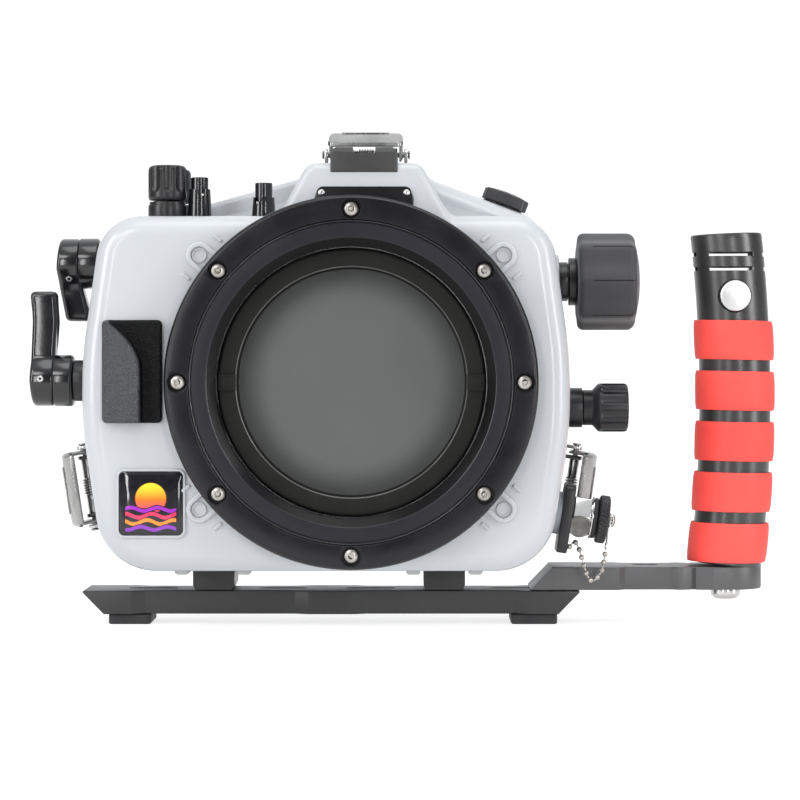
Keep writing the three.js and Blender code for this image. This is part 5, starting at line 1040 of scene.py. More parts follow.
# Painted shade: the disc darkens towards its edge, where the bore's wall shades it.
cap_bore_shade(cap_plastic)
body_cap = piece("body_cap_moulding", cap_form(), cap_plastic, "body_cap", ["body_cap"], sharp=26)
cap_rim = make_finish("cap_rim", (0.0062, 0.006, 0.0055), (0.0098, 0.0094, 0.0086), (0.45, 0.6), drift=60,
                      grain=2400, bump=0.3, Specular_IOR_Level=0.16)
# Painted highlight: a paler finish on the sharp step draws the bright line along its edge.
cap_edge = make_finish("cap_edge", (0.035, 0.035, 0.033), (0.07, 0.07, 0.065), (0.3, 0.4), drift=90, grain=2400)


def cap_finish(place, radius):
    """2 on the sharp step, a paler finish that paints its highlight line; 1 on the rim and the tabs; 0 on the disc."""
    if 58.1 < radius < 58.7 and 11.9 < place.y < 12.5:
        return 2
    return 1 if radius > 57.3 else 0


repainted(body_cap, [cap_rim, cap_edge], cap_finish)
print("cap faces", len(body_cap.data.polygons))

# %% [markdown]
# ## Nameplate, accessory block and grip pad
# The nameplate is a thin glossy plate with round corners, held by two domed screws, and it is left bare. The
# block above it is a milled foot for accessories: a slot on top, bevels down its front corners.

# %% Nameplate and block
PLATE_OUTLINE = [(-18.7, 84.8, 2), (31.3, 84.8, 2), (31.3, 93.2, 5), (29.3, 98.8, 3.2), (-16.7, 98.8, 3.2),
                 (-18.7, 93.2, 5)]
plate_form = facing(PLATE_OUTLINE, 11.6, 12.7, 0.35, 0.1, 8)
piece("nameplate_bare", plate_form, gloss_black, "housing", ["nameplate"])
crown = [(1.7 * math.cos(a), 0.1 + 0.75 * math.sin(a)) for a in np.linspace(0.2, 1.57, 6)]
plate_screw = moved(turned([(0, -0.2), (1.7, -0.2), (1.7, 0.1)] + crown, 24), TOWARD_LENS)
copied("nameplate_screws", plate_screw, [(-15.2, 11.9, 95.6), (27.8, 11.9, 95.6)], stainless, "housing")


def block_form():
    front = [(-10.7, 106, 0.3), (23.3, 106, 0.3), (23.3, 115.6, 0.8), (20.9, 118.8, 0.8), (-8.3, 118.8, 0.8),
             (-10.7, 115.6, 0.8)]
    body = facing(front, 12.1, 42, 1.1, 0.5, 4)
    slot = block(0.65, 11.95, 5, 50, 115.6, 130, 0.1, 0.1)
    seat = facing(HUMP, 18, 60, 0.02)
    step = block(-60, 60, 12.72, 60, 60, 107.05, 0.05, 0.05)
    shoulder = lofted([[(x, y, z) for y, z in ((11, 115.2), (11, 121), (16.8, 121))] for x in (-20, 33)])
    return carved(body, slot, seat, step, shoulder)


block_anodised = make_finish("block_anodised", (0.03, 0.03, 0.031), (0.046, 0.046, 0.0475), (0.3, 0.4), metal=0.35,
                             grain=4200, bump=0.16)
accessory_block = piece("accessory_block_milled", block_form(), block_anodised, "housing",
                        ["accessory_block"])
print("block faces", len(accessory_block.data.polygons))

# %% [markdown]
# The grip pad is soft black rubber on the left of the front, where fingers rest. Its relief follows a rule:
# a thick palm on the left whose edge runs straight up and then curves over to the top left corner, a deep
# valley behind that edge, and a low ramp to the right lip. A grid whose heights come from that rule makes it
# in one go, and a coarse leather-like grain goes into the material as bump. The valley gets a darker, duller
# copy of the rubber as painted shade.

# %% Grip pad as a height field


def pad_height(u, v):
    """Height over the back plane in millimetres, for u from left to right and v from bottom to top."""
    edge = 0.645 if v < 0.5 else 0.645 - 0.5 * ((v - 0.5) / 0.46) ** 2.1
    past = (u - edge) / 0.055
    crest = 5.9 + 1.1 * math.sin(math.pi * min(max(u / max(edge, 0.1), 0), 1) * 0.75)
    valley = 1.6 + 3.2 * max(0.0, (u - edge - 0.1) / max(1.02 - edge, 0.2)) ** 1.1 * (0.45 + 0.55 * v)
    blend = 1 / (1 + math.exp(np.clip(past * 5.5, -30, 30)))
    return valley + (crest - valley) * blend


def pad_form():
    """A grid of columns and rows over a rounded rectangle, with a skirt down to its flat back."""
    middle_x, middle_z, half_x, half_z, corner, back = -110.35, 5.45, 15.05, 25.95, 2.6, 11.0
    columns, rows = 90, 130
    points, faces = [], []
    for j in range(rows + 1):
        for i in range(columns + 1):
            u, v = i / columns, j / rows
            x, z = half_x * (2 * u - 1), half_z * (2 * v - 1)
            over_x, over_z = max(abs(x) - half_x + corner, 0), max(abs(z) - half_z + corner, 0)
            over = math.hypot(over_x, over_z)
            if over > corner:
                x -= math.copysign(over_x * (1 - corner / over), x)
                z -= math.copysign(over_z * (1 - corner / over), z)
                over = corner
            drop = 1 - math.sqrt(max(1 - max(1 - (corner - over) / 1.7, 0) ** 2, 0))
            height = pad_height(u, v)
            points.append((middle_x + x, back - max(height - drop * min(height * 0.75, 1.9), 0.5), middle_z + z))

    def index(i, j):
        return j * (columns + 1) + i
    for j in range(rows):
        for i in range(columns):
            faces.append((index(i, j), index(i + 1, j), index(i + 1, j + 1), index(i, j + 1)))
    border = [index(i, 0) for i in range(columns)] + [index(columns, j) for j in range(rows)]
    border += [index(i, rows) for i in range(columns, 0, -1)] + [index(0, j) for j in range(rows, 0, -1)]
    base, count = len(points), len(border)
    points += [(points[k][0], back, points[k][2]) for k in border]
    faces += [(border[k], base + k, base + (k + 1) % count, border[(k + 1) % count]) for k in range(count)]
    return points, faces + [tuple(range(base, base + count))]


pad_rubber = make_finish("pad_rubber", (0.013, 0.0136, 0.0165), (0.032, 0.0335, 0.039), (0.27, 0.36), drift=900,
                         grain=950, bump=1.0, bump_height=0.0018, Specular_IOR_Level=0.7)
# Painted shade: a darker, duller copy of the pad rubber for the deep valley.
pad_dull = make_finish("pad_dull", (0.0008, 0.0009, 0.0012), (0.002, 0.0021, 0.0026), (0.4, 0.5), drift=900,
                       grain=950, bump=1.0, bump_height=0.0012, Specular_IOR_Level=0.14)
grip_pad = piece("grip_pad_moulded", pad_form(), pad_rubber, "housing", ["grip_pad"], sharp=48)
# Painted shade: the faces deep in the valley take the darker, duller copy of the rubber.
repainted(grip_pad, [pad_dull], lambda place, _: 1 if 11 - place.y < 4.4 and place.x > -122 else 0)   # the valley
print("pad faces", len(grip_pad.data.polygons))

# %% [markdown]
# ## Badge
# A small square badge sits in a raised frame: a printed picture under a clear dome of resin. The print here
# is a plain design, a sun over waves in orange, yellow, red and violet on black. It is drawn by maths in the
# shader from the piece's own coordinates, so it needs no picture file.

# %% Print and dome of the badge


def math_node(tree, operation, first, second=None, third=None):
    node = tree.nodes.new("ShaderNodeMath")
    node.operation = operation
    for socket, value in zip(node.inputs, (first, second, third)):
        if value is None:
            continue
        if isinstance(value, (int, float)):
            socket.default_value = value
        else:
            tree.links.new(value, socket)
    return node.outputs["Value"]


def painted_over(tree, below, colour, mask):
    mix = tree.nodes.new("ShaderNodeMix")
    mix.data_type = "RGBA"
    tree.links.new(below, mix.inputs["A"])
    if isinstance(colour, tuple):
        mix.inputs["B"].default_value = (*colour, 1)
    else:
        tree.links.new(colour, mix.inputs["B"])
    tree.links.new(mask, mix.inputs["Factor"])
    return mix.outputs["Result"]


badge_print = make_finish("badge_print", (0.004, 0.004, 0.006), (0.01, 0.009, 0.014), (0.08, 0.14), drift=300,
                          grain=400, bump=0.02, coat=1.0, coat_rough=0.03, Specular_IOR_Level=0.1)


def draw_badge(material):
    tree = material.node_tree
    middle = at((-101, 0, -61)) * 62.5
    place, centre = tree.nodes.new("ShaderNodeTexCoord"), tree.nodes.new("ShaderNodeMapping")
    centre.inputs["Scale"].default_value = (62.5, 62.5, 62.5)
    centre.inputs["Location"].default_value = (-middle.x, 0, -middle.z)
    tree.links.new(place.outputs["Object"], centre.inputs["Vector"])
    split = tree.nodes.new("ShaderNodeSeparateXYZ")
    tree.links.new(centre.outputs["Vector"], split.inputs["Vector"])
    x, z = split.outputs["X"], split.outputs["Z"]
    away = math_node(tree, "SQRT", math_node(tree, "ADD", math_node(tree, "POWER", x, 2.0),
                                             math_node(tree, "POWER", math_node(tree, "SUBTRACT", z, 0.16), 2.0)))
    inward = math_node(tree, "MULTIPLY", math_node(tree, "SUBTRACT", 0.5, away), 30.0)
    sun = math_node(tree, "SMOOTH_MIN", inward, 1.0, 0.1)
    sun = math_node(tree, "MAXIMUM", sun, 0.0)
    ramp = tree.nodes.new("ShaderNodeValToRGB")
    stops = ramp.color_ramp.elements
    stops[0].position, stops[0].color = 0.18, (0.55, 0.01, 0.14, 1)
    stops[1].position, stops[1].color = 0.86, (1.0, 0.72, 0.04, 1)
    middle_stop = stops.new(0.5)
    middle_stop.color = (1.0, 0.16, 0.015, 1)
    tree.links.new(math_node(tree, "ADD", math_node(tree, "MULTIPLY", z, 0.7), 0.42), ramp.inputs["Fac"])
    shader = tree.nodes["Principled BSDF"]
    colour = shader.inputs["Base Color"].links[0].from_socket
    colour = painted_over(tree, colour, ramp.outputs["Color"], sun)
    for level, swing, shift, shade in ((-0.18, 0.055, 0.0, (0.3, 0.02, 0.42)), (-0.38, 0.06, 1.3, (0.85, 0.03, 0.1)),
                                       (-0.58, 0.065, 2.4, (1.0, 0.22, 0.02)), (-0.78, 0.05, 3.9, (0.22, 0.03, 0.4))):
        phase = math_node(tree, "ADD", math_node(tree, "MULTIPLY", x, 7.5), shift)
        crest = math_node(tree, "MULTIPLY", math_node(tree, "SINE", phase), swing)
        apart = math_node(tree, "ABSOLUTE", math_node(tree, "SUBTRACT", math_node(tree, "SUBTRACT", z, level), crest))
        inside = math_node(tree, "LESS_THAN", math_node(tree, "ABSOLUTE", x), 0.8)
        dark = math_node(tree, "MULTIPLY", math_node(tree, "LESS_THAN", apart, 0.088), inside)
        line = math_node(tree, "MULTIPLY", math_node(tree, "LESS_THAN", apart, 0.058), inside)
        colour = painted_over(tree, colour, (0.006, 0.005, 0.01), dark)
        colour = painted_over(tree, colour, shade, line)
    tree.links.new(colour, shader.inputs["Base Color"])


draw_badge(badge_print)
badge_dome = []
rise = [(13 * share, 9.4 + 1.3 * (1 - share) ** 5) for share in (0, 0.01, 0.03, 0.06, 0.1, 0.16, 0.24, 0.36, 0.55, 1)]
for inset, depth in [(0, 10.9)] + rise:
    corners = rectangle(-117, -85, -77, -45, inset + min(2.6 + 0.7 * inset, 15.8 - inset))
    badge_dome.append([(x, depth, z) for x, z in rounded_loop(corners, inset, 8)])
piece("badge_dome", lofted(badge_dome), badge_print, "housing", ["badge_tile"], sharp=50)
print("badge drawn")

# %% [markdown]
# ## Controls that pass through the wall
# Every control turns or slides on a shaft through a gland, a threaded tube with a nut inside. All of these are
# lathe work, so each is a profile spun about its own axis. Local Z leaves the wall and local X points up, so a
# height in a profile is simply the distance from the port's middle plane.

# %% Axes and glands


def left_axis(y, z):
    return standing_on((0, y, z), (-1, 0, 0), (0, 0, 1))


def right_axis(y, z):
    return standing_on((0, y, z), (1, 0, 0), (0, 0, 1))


def upright_axis(x, y):
    return standing_on((x, y, 0), (0, 0, 1), (1, 0, 0))


def gland(inside, seat, tiers, bore=3.25, nut=8.0):
    """A nut inside the wall, a thread through it, and tiers (radius, height) outside."""
    profile = [(bore, inside), (nut, inside), (nut, inside + 4), (5.2, inside + 4), (5.2, seat)]
    for radius, top in tiers:
        profile += [(radius, seat), (radius, top)]
        seat = top
    return lathe(profile + [(bore, seat)], sides=72, closed=True)


def rod(radius, low, high, sides=24):
    return lathe([(0, low, 0), (radius, low), (radius, high), (0, high, 0)], 0.3, 2, sides)


UPPER_AXIS, LOWER_AXIS = left_axis(78, 62), left_axis(44, 0.6)
ZOOM_AXIS, RELEASE_AXIS = right_axis(60, 52), right_axis(60, -13.5)
for control, axis, inside, seat, tiers in (
        ("upper_lever", UPPER_AXIS, 118.4, 131.6, [(9.5, 133.2)]),
        ("lower_lever", LOWER_AXIS, 125.3, 137.05, [(10.6, 143.2)]),
        ("zoom", ZOOM_AXIS, 93.8, 107.0, [(10.2, 111.3), (9.2, 112.0), (12.4, 115.9)]),
        ("release", RELEASE_AXIS, 99.3, 111.05, [(10.3, 119.0)])):
    piece(control.split("_")[0] + "_gland_turned", moved(gland(inside, seat, tiers), axis), plastic_black, "housing",
          [control + "_gland"])
print("four glands")

# %% [markdown]
# ## Levers
# The two levers on the left are moulded paddles on a round hub. Seen from the side a paddle is a disc that
# runs into an arm. Its outline is stacked in layers with rounded edges, and then its two faces are moved to
# the curves that the front view shows: the upper arm leans towards the shell, the lower one has a waist.

# %% Lever outline and the bend of its faces


def dense(loop, step):
    out = []
    for i, here in enumerate(loop):
        there = loop[(i + 1) % len(loop)]
        parts = max(1, round(math.dist(here[:2], there[:2]) / step))
        out += [tuple(here[n] + (there[n] - here[n]) * k / parts for n in (0, 1)) for k in range(parts)]
    return out


def rubbed(loop, rounds):
    """Rubs the corners of a dense loop round by averaging neighbours."""
    line = np.array(loop, float)
    for _ in range(rounds):
        line = (np.roll(line, 1, 0) + 2 * line + np.roll(line, -1, 0)) / 4
    return [tuple(p) for p in line]


def lever_outline(reach, way):
    """A disc of radius 13.3 with an arm 15 wide, towards +X or -X."""
    gap = math.asin(7.5 / 13.3)
    arc = [(-13.3 * math.cos(a), -13.3 * math.sin(a)) for a in np.linspace(gap, 2 * math.pi - gap, 60)]
    loop = rubbed(dense(arc[::-1] + [(-reach, 7.5), (-reach, -7.5)][::-1], 1.1), 9)
    loop = [(-x, y) for x, y in loop] if way > 0 else loop
    area = sum(a[0] * b[1] - b[0] * a[1] for a, b in zip(loop, loop[1:] + loop[:1]))
    return loop if area > 0 else loop[::-1]


def between_faces(form, stations):
    """Moves heights 0 and 1 of a stacked form to an inner and an outer face that change along local X."""
    along, inner, outer = zip(*stations)
    height = [np.interp(x, along, inner) * (1 - h) + np.interp(x, along, outer) * h for x, _, h in form[0]]
    return [(x, y, z) for (x, y, _), z in zip(form[0], height)], form[1]


def lever(reach, way, stations, hub, shaft_end):
    loop = lever_outline(reach, way)
    quarter = np.linspace(0, math.pi / 2, 6)
    levels = [(0.19 * (1 - math.sin(a)), 2.1 * (1 - math.cos(a))) for a in reversed(quarter)]
    levels += [(1 - h, inset) for h, inset in reversed(levels)]
    paddle = between_faces(lofted([[(x, y, h) for x, y in offset_loop(loop, inset)] for h, inset in levels]), stations)
    disc = [(0, hub[0], 0), (12.2, hub[0], 0.3), (13.3, hub[0] + 1.1, 0.5), (13.3, hub[1]), (0, hub[1], 0)]
    disc = lathe(disc, 0.6, 3, 72)
    inner_arm = block(-14, 3, -3, 3, shaft_end, shaft_end + 3, 0.4, 2.8)
    return together(paddle, disc, rod(3, shaft_end + 0.5, hub[0] + 0.5), inner_arm)


lever_black = make_finish("lever_black", (0.0025, 0.0025, 0.0032), (0.006, 0.006, 0.0072), (0.13, 0.22), grain=1800,
                          bump=0.04, coat=0.25, coat_rough=0.12)
upper = lever(30.5, -1, [(-30.6, 138.5, 150.9), (-26, 138.6, 151.7), (-13, 142.3, 154.3), (-3, 143.4, 155.6),
                         (13.4, 143.6, 154.4)], (133.5, 144.0), 112.6)
lower = lever(46, 1, [(-13.4, 152.9, 164.3), (0, 152.3, 165.2), (15, 152.6, 164.8), (30, 151.5, 164.2),
                      (41.0, 152.2, 164.6), (41.8, 152.2, 165.2), (46, 152.4, 165.2)], (143.55, 153.2), 119.6)
piece("upper_lever_moulded", moved(upper, UPPER_AXIS), lever_black, "upper_lever", ["upper_lever"])
piece("lower_lever_moulded", moved(lower, LOWER_AXIS), lever_black, "lower_lever", ["lower_lever"])
set_screw = carved(turned([(0, -0.8), (1.6, -0.8), (1.6, 0.05), (1.4, 0.2), (0, 0.2)], 32), hexagon(0.85, -0.5, 1))
for name, spot, out, body in (("upper_set_screw", (-149, 67.75, 53.7), (0, -10.4, -8.3), "upper_lever"),
                              ("lower_set_screw", (-159.4, 30.85, 1.7), (0, -1, 0), "lower_lever")):
    piece(name, moved(set_screw, standing_on(spot, out, (1, 0, 0))), stainless, body)
print("levers bent")

# %% [markdown]
# ## Zoom knob
# The big knob is soft matte rubber over a core: eight broad lobes with soft valleys between them and a thin
# moulded slit along each crest. Its radius is one rule of the angle, so a ring of points for each height
# makes it, and only the slits need cutting.

# %% Lobed knob


def lobed_knob(radius, low, high, low_edge, high_edge, lobes, depth, narrow, crown, turn=0.0, per=22):
    """Lobes that fade a little over the rounded ends, and an end face that swells by the crown."""
    angles = np.linspace(0, 2 * np.pi, lobes * per, endpoint=False)
    valley = depth * np.abs(np.sin(lobes * (angles - turn) / 2)) ** narrow
    top = high - crown
    levels = [(low, low_edge + 2)] + [(h, inset) for h, inset in edge_levels(low, top, low_edge, high_edge, 7)]
    rings = []
    for h, inset in levels:
        reach = radius - inset - valley
        rings.append([(r * math.cos(a), r * math.sin(a), h) for r, a in zip(reach, angles)])
    rim = radius - high_edge
    for share in (0.8, 0.55, 0.3, 0.1):
        h = top + crown * (1 - share ** 2) - 0.02
        rings.append([(share * (rim - v * share) * math.cos(a), share * (rim - v * share) * math.sin(a), h)
                      for a, v in zip(angles, valley)])
    return lofted(rings)


knob_rubber = make_finish("knob_rubber", (0.0135, 0.0135, 0.0155), (0.023, 0.023, 0.0255), (0.52, 0.66), drift=40,
                          grain=2600, bump=0.35, bump_height=0.00015, Sheen_Weight=0.15, Sheen_Roughness=0.5)
slit = block(24.0, 27.0, -0.28, 0.28, 123.6, 144.6, 0.1, 0.2)
slits = [moved(slit, Matrix.Rotation(turn, 4, "Z")) for turn in np.arange(8) * math.pi / 4]
zoom_form = carved(lobed_knob(25.2, 116.4, 149.0, 3.2, 4.6, 8, 2.1, 1.6, 2.4), together(*slits))
gear_reach = [15 if k % 4 in (0, 1) else 13.4 for k in range(64)]
gear_loop = [(r * math.cos(k * math.pi / 32), r * math.sin(k * math.pi / 32)) for k, r in enumerate(gear_reach)]
zoom_gear = together(lofted([[(x, y, h) for x, y in gear_loop] for h in (82.1, 88)]), rod(3, 87.5, 117))
piece("zoom_knob_lobed", moved(together(zoom_form, zoom_gear), ZOOM_AXIS), knob_rubber, "zoom_knob",
      ["zoom_knob"], sharp=34)

# %% [markdown]
# ## Fluted knobs
# The release knob and the two knobs on the deck have scooped flutes with round feet, the mark of a ball-nosed
# milling cutter. So a turned blank is cut by capsules that stand round it, just as the mill does it.

# %% Scooped flutes


def scoops(radius, count, width, depth, foot, top, turn=0.0):
    """Capsule-shaped cutters round a knob, sized to leave flutes of this width and depth."""
    half = width / 2
    sag = depth - (radius - math.sqrt(radius ** 2 - half ** 2))
    bite = (half ** 2 + sag ** 2) / (2 * sag)
    ball = [(bite * math.sin(a), foot - bite * math.cos(a)) for a in np.linspace(0.2, math.pi / 2, 9)]
    tool = turned([(0, foot - bite)] + ball + [(bite, top), (0, top)], 56)
    away = radius - depth + bite
    turns = [turn + 2 * math.pi * i / count for i in range(count)]
    return [shifted(tool, away * math.cos(a), away * math.sin(a), 0) for a in turns]


release_profile = [(0, 119.35, 0), (9.2, 119.35), (9.2, 124.4, 0.8), (12.6, 127.4, 0.8), (12.6, 142.8, 2.4),
                   (0, 142.8, 0)]
release_form = carved(lathe(release_profile, 0.4, 5, 96), *scoops(12.6, 12, 4.7, 1.1, 130.5, 150, math.pi / 12))
release_form = together(release_form, rod(3, 97, 120), rod(7, 93.6, 97.5, 40))
piece("release_knob_fluted", moved(release_form, RELEASE_AXIS), plastic_black, "release_knob",
      ["release_knob"], sharp=28)

top_profile = [(0, 93.4, 0), (9.3, 93.4, 0.4), (9.85, 94.8, 0.5), (9.85, 111.5, 3.2), (0, 111.5, 0)]
top_form = carved(lathe(top_profile, 0.4, 6, 96), *scoops(9.85, 9, 5.3, 1.0, 100.4, 120, math.radians(-84)))
top_form = together(top_form, rod(3, 67.8, 93.6), rod(8, 62.4, 68, 40))
base_form = gland(75.6, 84.6, [(9.9, 90.9), (9.3, 92.6)], nut=7.0)
for name, y in (("front_top_knob", 45), ("rear_top_knob", 75)):
    piece(name + "_fluted", moved(top_form, upright_axis(-95.5, y)), plastic_black, name, [name],
          sharp=28)
bases = together(*[moved(base_form, upright_axis(-95.5, y)) for y in (45, 75)])
piece("top_knob_bases", bases, plastic_black, "housing", ["top_knob_glands"])
print("knobs cut")

# %% [markdown]
# ## Push buttons and vacuum plug
# Each push button is a glossy black cap that slides in a slightly tapered tube with a small notch in its
# rim, where a pin keeps the cap from turning. The vacuum plug is a low rubber knob screwed down on an O-ring
# on the sloping roof, so its place is tilted with the roof.

# %% Buttons and plug
BUTTON_Y, BUTTON_REACH = 45, 4.5
for name, x, rim, top, notch in (("outer_top_button", -78.9, 99.2, 105.3, 1.9),
                                 ("inner_top_button", -45.9, 95.0, 102.5, -3.0)):
    place = upright_axis(x, BUTTON_Y)
    wall = [(4.75, 84.6), (1.75, 84.6), (1.75, 77.6), (5.0, 77.6), (5.0, 84.6), (6.2, 84.6), (5.55, rim), (4.75, rim)]
    notch_tool = block(notch - 1.1, notch + 1.1, -8, 0, rim - 3.8, rim + 2, 0.2, 0.3)
    button_tube = carved(lathe(wall, 0.25, 3, closed=True), notch_tool)
    cap = [(0, rim - 6, 0), (BUTTON_REACH, rim - 6), (BUTTON_REACH, top, 0.5), (0, top, 0)]
    cap = together(lathe(cap, 0.3, 4), rod(1.5, 67.4, rim - 5.5))
    piece(name + "_tube", moved(button_tube, place), lever_black, "housing", [name + "_gland"])
    piece(name + "_cap", moved(cap, place), lever_black, name, [name])
    # The pin's inner end just clears the cap.
    pin_y = BUTTON_Y - 0.06 - math.sqrt(BUTTON_REACH ** 2 - (abs(notch) - 0.7) ** 2)
    pin = shifted(moved(rod(0.7, 0, 0.9, 16), TOWARD_LENS), x + notch, pin_y, rim - 3.08)
    piece(name + "_pin", pin, stainless, "housing")

on_roof = standing_on((78, 82, 91.35), (0.3527, 0, 0.9357), (0, -1, 0))
plug_head = lobed_knob(12.5, 1.85, 9.0, 0.5, 0.7, 7, 2.0, 2.4, 1.2, turn=math.radians(-6.9))
piece("vacuum_plug_lobed", moved(together(plug_head, rod(5, -7.9, 2, 32)), on_roof), knob_rubber, "vacuum_plug",
      ["vacuum_plug"], sharp=30)
round_turns = np.linspace(0, 2 * math.pi, 14, endpoint=False)
o_ring = turned([(9.9 + 1.02 * math.cos(a), 0.9 + 0.6 * math.sin(a)) for a in round_turns], 72)
piece("vacuum_plug_seal", moved(o_ring, on_roof), rubber_black, "vacuum_plug_o_ring",
      ["vacuum_plug_o_ring"])
print("buttons and plug seated")

# %% [markdown]
# ## Latches
# Three over-centre latches hold the clear back: one on the hump and one on each side wall. A latch is pressed
# and bent stainless sheet: a base with two ears and a pin, a lever like a shallow pan, and a bail whose hook
# grips the flange of the back. One latch is shaped in its own coordinates, x across it, y back and z away from the
# wall, and is then placed three times. Only the lever and the bail move, so each is a piece of its own.

# %% One latch in its own coordinates


def sideways(loop, low, high, edge=0.3, edge_steps=3):
    """A loop in local Y, Z, stacked across the latch along X."""
    form = stacked(loop, low, high, edge, edge_steps)
    return [(h, u, v) for u, v, h in form[0]], form[1]


def across(radius, low, high, y, z, sides=28):
    """A pin along local X with slightly domed ends."""
    ends = [(0, low, 0), (radius * 0.8, low, 0), (radius, low + 0.3), (radius, high - 0.3), (radius * 0.8, high, 0),
            (0, high, 0)]
    pin = lathe(ends, 0.2, 2, sides)
    return [(h, y + u, z + v) for u, v, h in pin[0]], pin[1]


def base_form():
    ear = rounded_loop([(90, 0.3, 0.3), (102, 0.3, 0.3), (100, 13.5, 4), (92, 13.5, 4)], 0, 6)
    parts = [block(-16.45, 16.45, 79.75, 105.75, 0.3, 2.3, 0.3, 1.6), across(1.5, -19.9, 19.9, 96, 9.5)]
    for side in (-1, 1):
        near, far = sorted((side * 14.45, side * 16.45))
        parts.append(sideways(ear, near, far))
        parts.append(across(2.7, *sorted((side * 4.3, side * 14.6)), 96, 9.5))
        parts.append(shifted(button_head(2.2, 0.3, 1.2, 1.0, 0.8), side * 9, 85, 2.3))
    return together(*parts)


def lever_form():
    def bend(start, middle, end):
        """A curve from start to end that is pulled towards middle."""
        return [start * (1 - t) ** 2 + 2 * middle * t * (1 - t) + end * t ** 2 for t in np.linspace(0, 1, 15)]
    arch = list(zip(bend(60, 77, 94), bend(13.5, 22.95, 19)))
    outside = [(60, 11.3, 0.6), (62.5, 11.3, 0.6), (72, 13.0, 2), (80.5, 5.5, 2), (100, 5.5, 3.6), (100, 13.0, 3)]
    outer = rubbed(dense(rounded_loop(outside + [(y, z, 0) for y, z in reversed(arch)], 0, 5), 0.8), 2)
    hollow = [(61.4, -5), (101, -5), (101, 25), (94.2, 25), (94.2, 17.6)]
    hollow += [(y + 0.6, z - 1.4) for y, z in reversed(arch[1:-1])] + [(61.4, 12.8)]
    pan = carved(sideways(outer, -19.5, 19.5, 2.6, 6), sideways(hollow, -17.5, 17.5, 0.05, 1))
    lock = [shifted(block(-12.5, 12.5, -4.5, 4.5, 0, 1.0, 0.4, 1.2), 0, 79, 19.05)]
    lock += [block(x - 0.35, x + 0.35, 75.2, 82.8, 19.7, 20.05, 0.15, 0.2) for x in np.arange(-11, 11.1, 1.57)]
    pins = [across(1.5, *sorted((side * 17.6, side * 22.3)), 84, 8.7) for side in (-1, 1)]
    pins += [across(2.3, *sorted((side * 22.25, side * 23.25)), 84, 8.7) for side in (-1, 1)]
    return together(pan, *lock, *pins)


def bail_form():
    arm = [(80.8, 5.5, 3.1), (90, 2.2, 2), (120.6, 2.2, 0.4), (120.6, 5.2, 0.4), (96, 5.2, 2), (87.2, 11.9, 3.1),
           (80.8, 11.9, 3.1)]
    arm = rounded_loop(arm, 0, 6)
    parts = [sideways(arm, *sorted((side * 20.15, side * 21.95)), 0.35) for side in (-1, 1)]
    parts.append(block(-21.9, 21.9, 108.6, 120.6, 3.8, 5.2, 0.3, 0.6))
    hook = rounded_loop([(118.5, -1.6, 0.7), (120.6, -1.6, 0.7), (120.6, 5.0, 0.5), (118.5, 5.0, 0.5)], 0, 4)
    return together(*parts, sideways(hook, -21.9, 21.9, 0.3))


# %% [markdown]
# The lock spring on each pivot pin is a helix of wire. Geometry Nodes have a spiral curve for this, and Curve to
# Mesh gives it its round section, so turns, radius, length and wire are plain inputs.

# %% Spring tree


def spring_tree():
    tree, given = new_tree("coil_spring", dict.fromkeys(("Turns", "Radius", "Length", "Wire"), "Float"))
    helix, section, skin_node = some_nodes(tree, "CurveSpiral", "CurvePrimitiveCircle", "CurveToMesh")
    helix.inputs["Resolution"].default_value, section.inputs["Resolution"].default_value = 20, 8
    skin_node.inputs["Fill Caps"].default_value = True
    linked(tree, (given["Turns"], helix, "Rotations"), (given["Radius"], helix, "Start Radius"),
           (given["Radius"], helix, "End Radius"), (given["Length"], helix, "Height"),
           (given["Wire"], section, "Radius"),
           (helix.outputs["Curve"], skin_node, "Curve"), (section.outputs["Curve"], skin_node, "Profile Curve"))
    return painted_result(tree, skin_node.outputs["Mesh"], given["Finish"])


SPRING = spring_tree()
METRES = Matrix.Translation(PORT) @ Matrix.Scale(0.001, 4)


def grown(name, tree, values, place, finish, body, replaces=(), lines=None):
    """A piece that is wholly made by a tree, in millimetres, from lines or from nothing, and then placed."""
    seed = bpy.data.meshes.new(name + "_seed")
    seed.from_pydata(*(lines or ([(0, 0, 0)], [], [])))
    holder = bpy.data.objects.new(name + "_seed", seed)
    scratch.objects.link(holder)
    mesh = run_tree(holder, tree, {**values, "Finish": finish})
    bpy.data.objects.remove(holder)
    mesh.transform(METRES @ place)
    return dressed(mesh, name, finish, body, replaces, 60)


# %% Three latches in place
latch_parts = (("base", base_form(), stainless), ("lever", lever_form(), stainless_brushed),
               ("bail", bail_form(), stainless))
spring_sizes = {"Turns": 6.0, "Radius": 3.0, "Length": 8.4, "Wire": 0.5}
for side, x, z, turn in (("top", 6.3, 111, 0), ("left", -131.8, -54.5, -98.67), ("right", 105.8, -54.5, 98.67)):
    place = Matrix.Translation((x, 0, z)) @ Matrix.Rotation(math.radians(turn), 4, "Y")
    for part, form, finish in latch_parts:
        name = f"{side}_latch_{part}"
        body = "housing" if part == "base" else name
        piece(name + "_pressed", moved(form, place), finish, body, [name], sharp=30)
    lying = place @ Matrix.Translation((-4.2, 96, 9.5)) @ Matrix.Rotation(math.radians(90), 4, "Y")
    grown(f"{side}_latch_spring", SPRING, spring_sizes, lying, stainless, "housing")
print("latches placed")

# %% [markdown]
# ## Connector
# Low on the right wall a black bracket holds a bulkhead connector: a chrome body with six flats, a small bare
# disc on its front, a black seal, and a knurled cap that hangs on a bead chain when it is off. Everything is
# turned about one axis that leaves the sloping wall, with local X pointing down the wall.

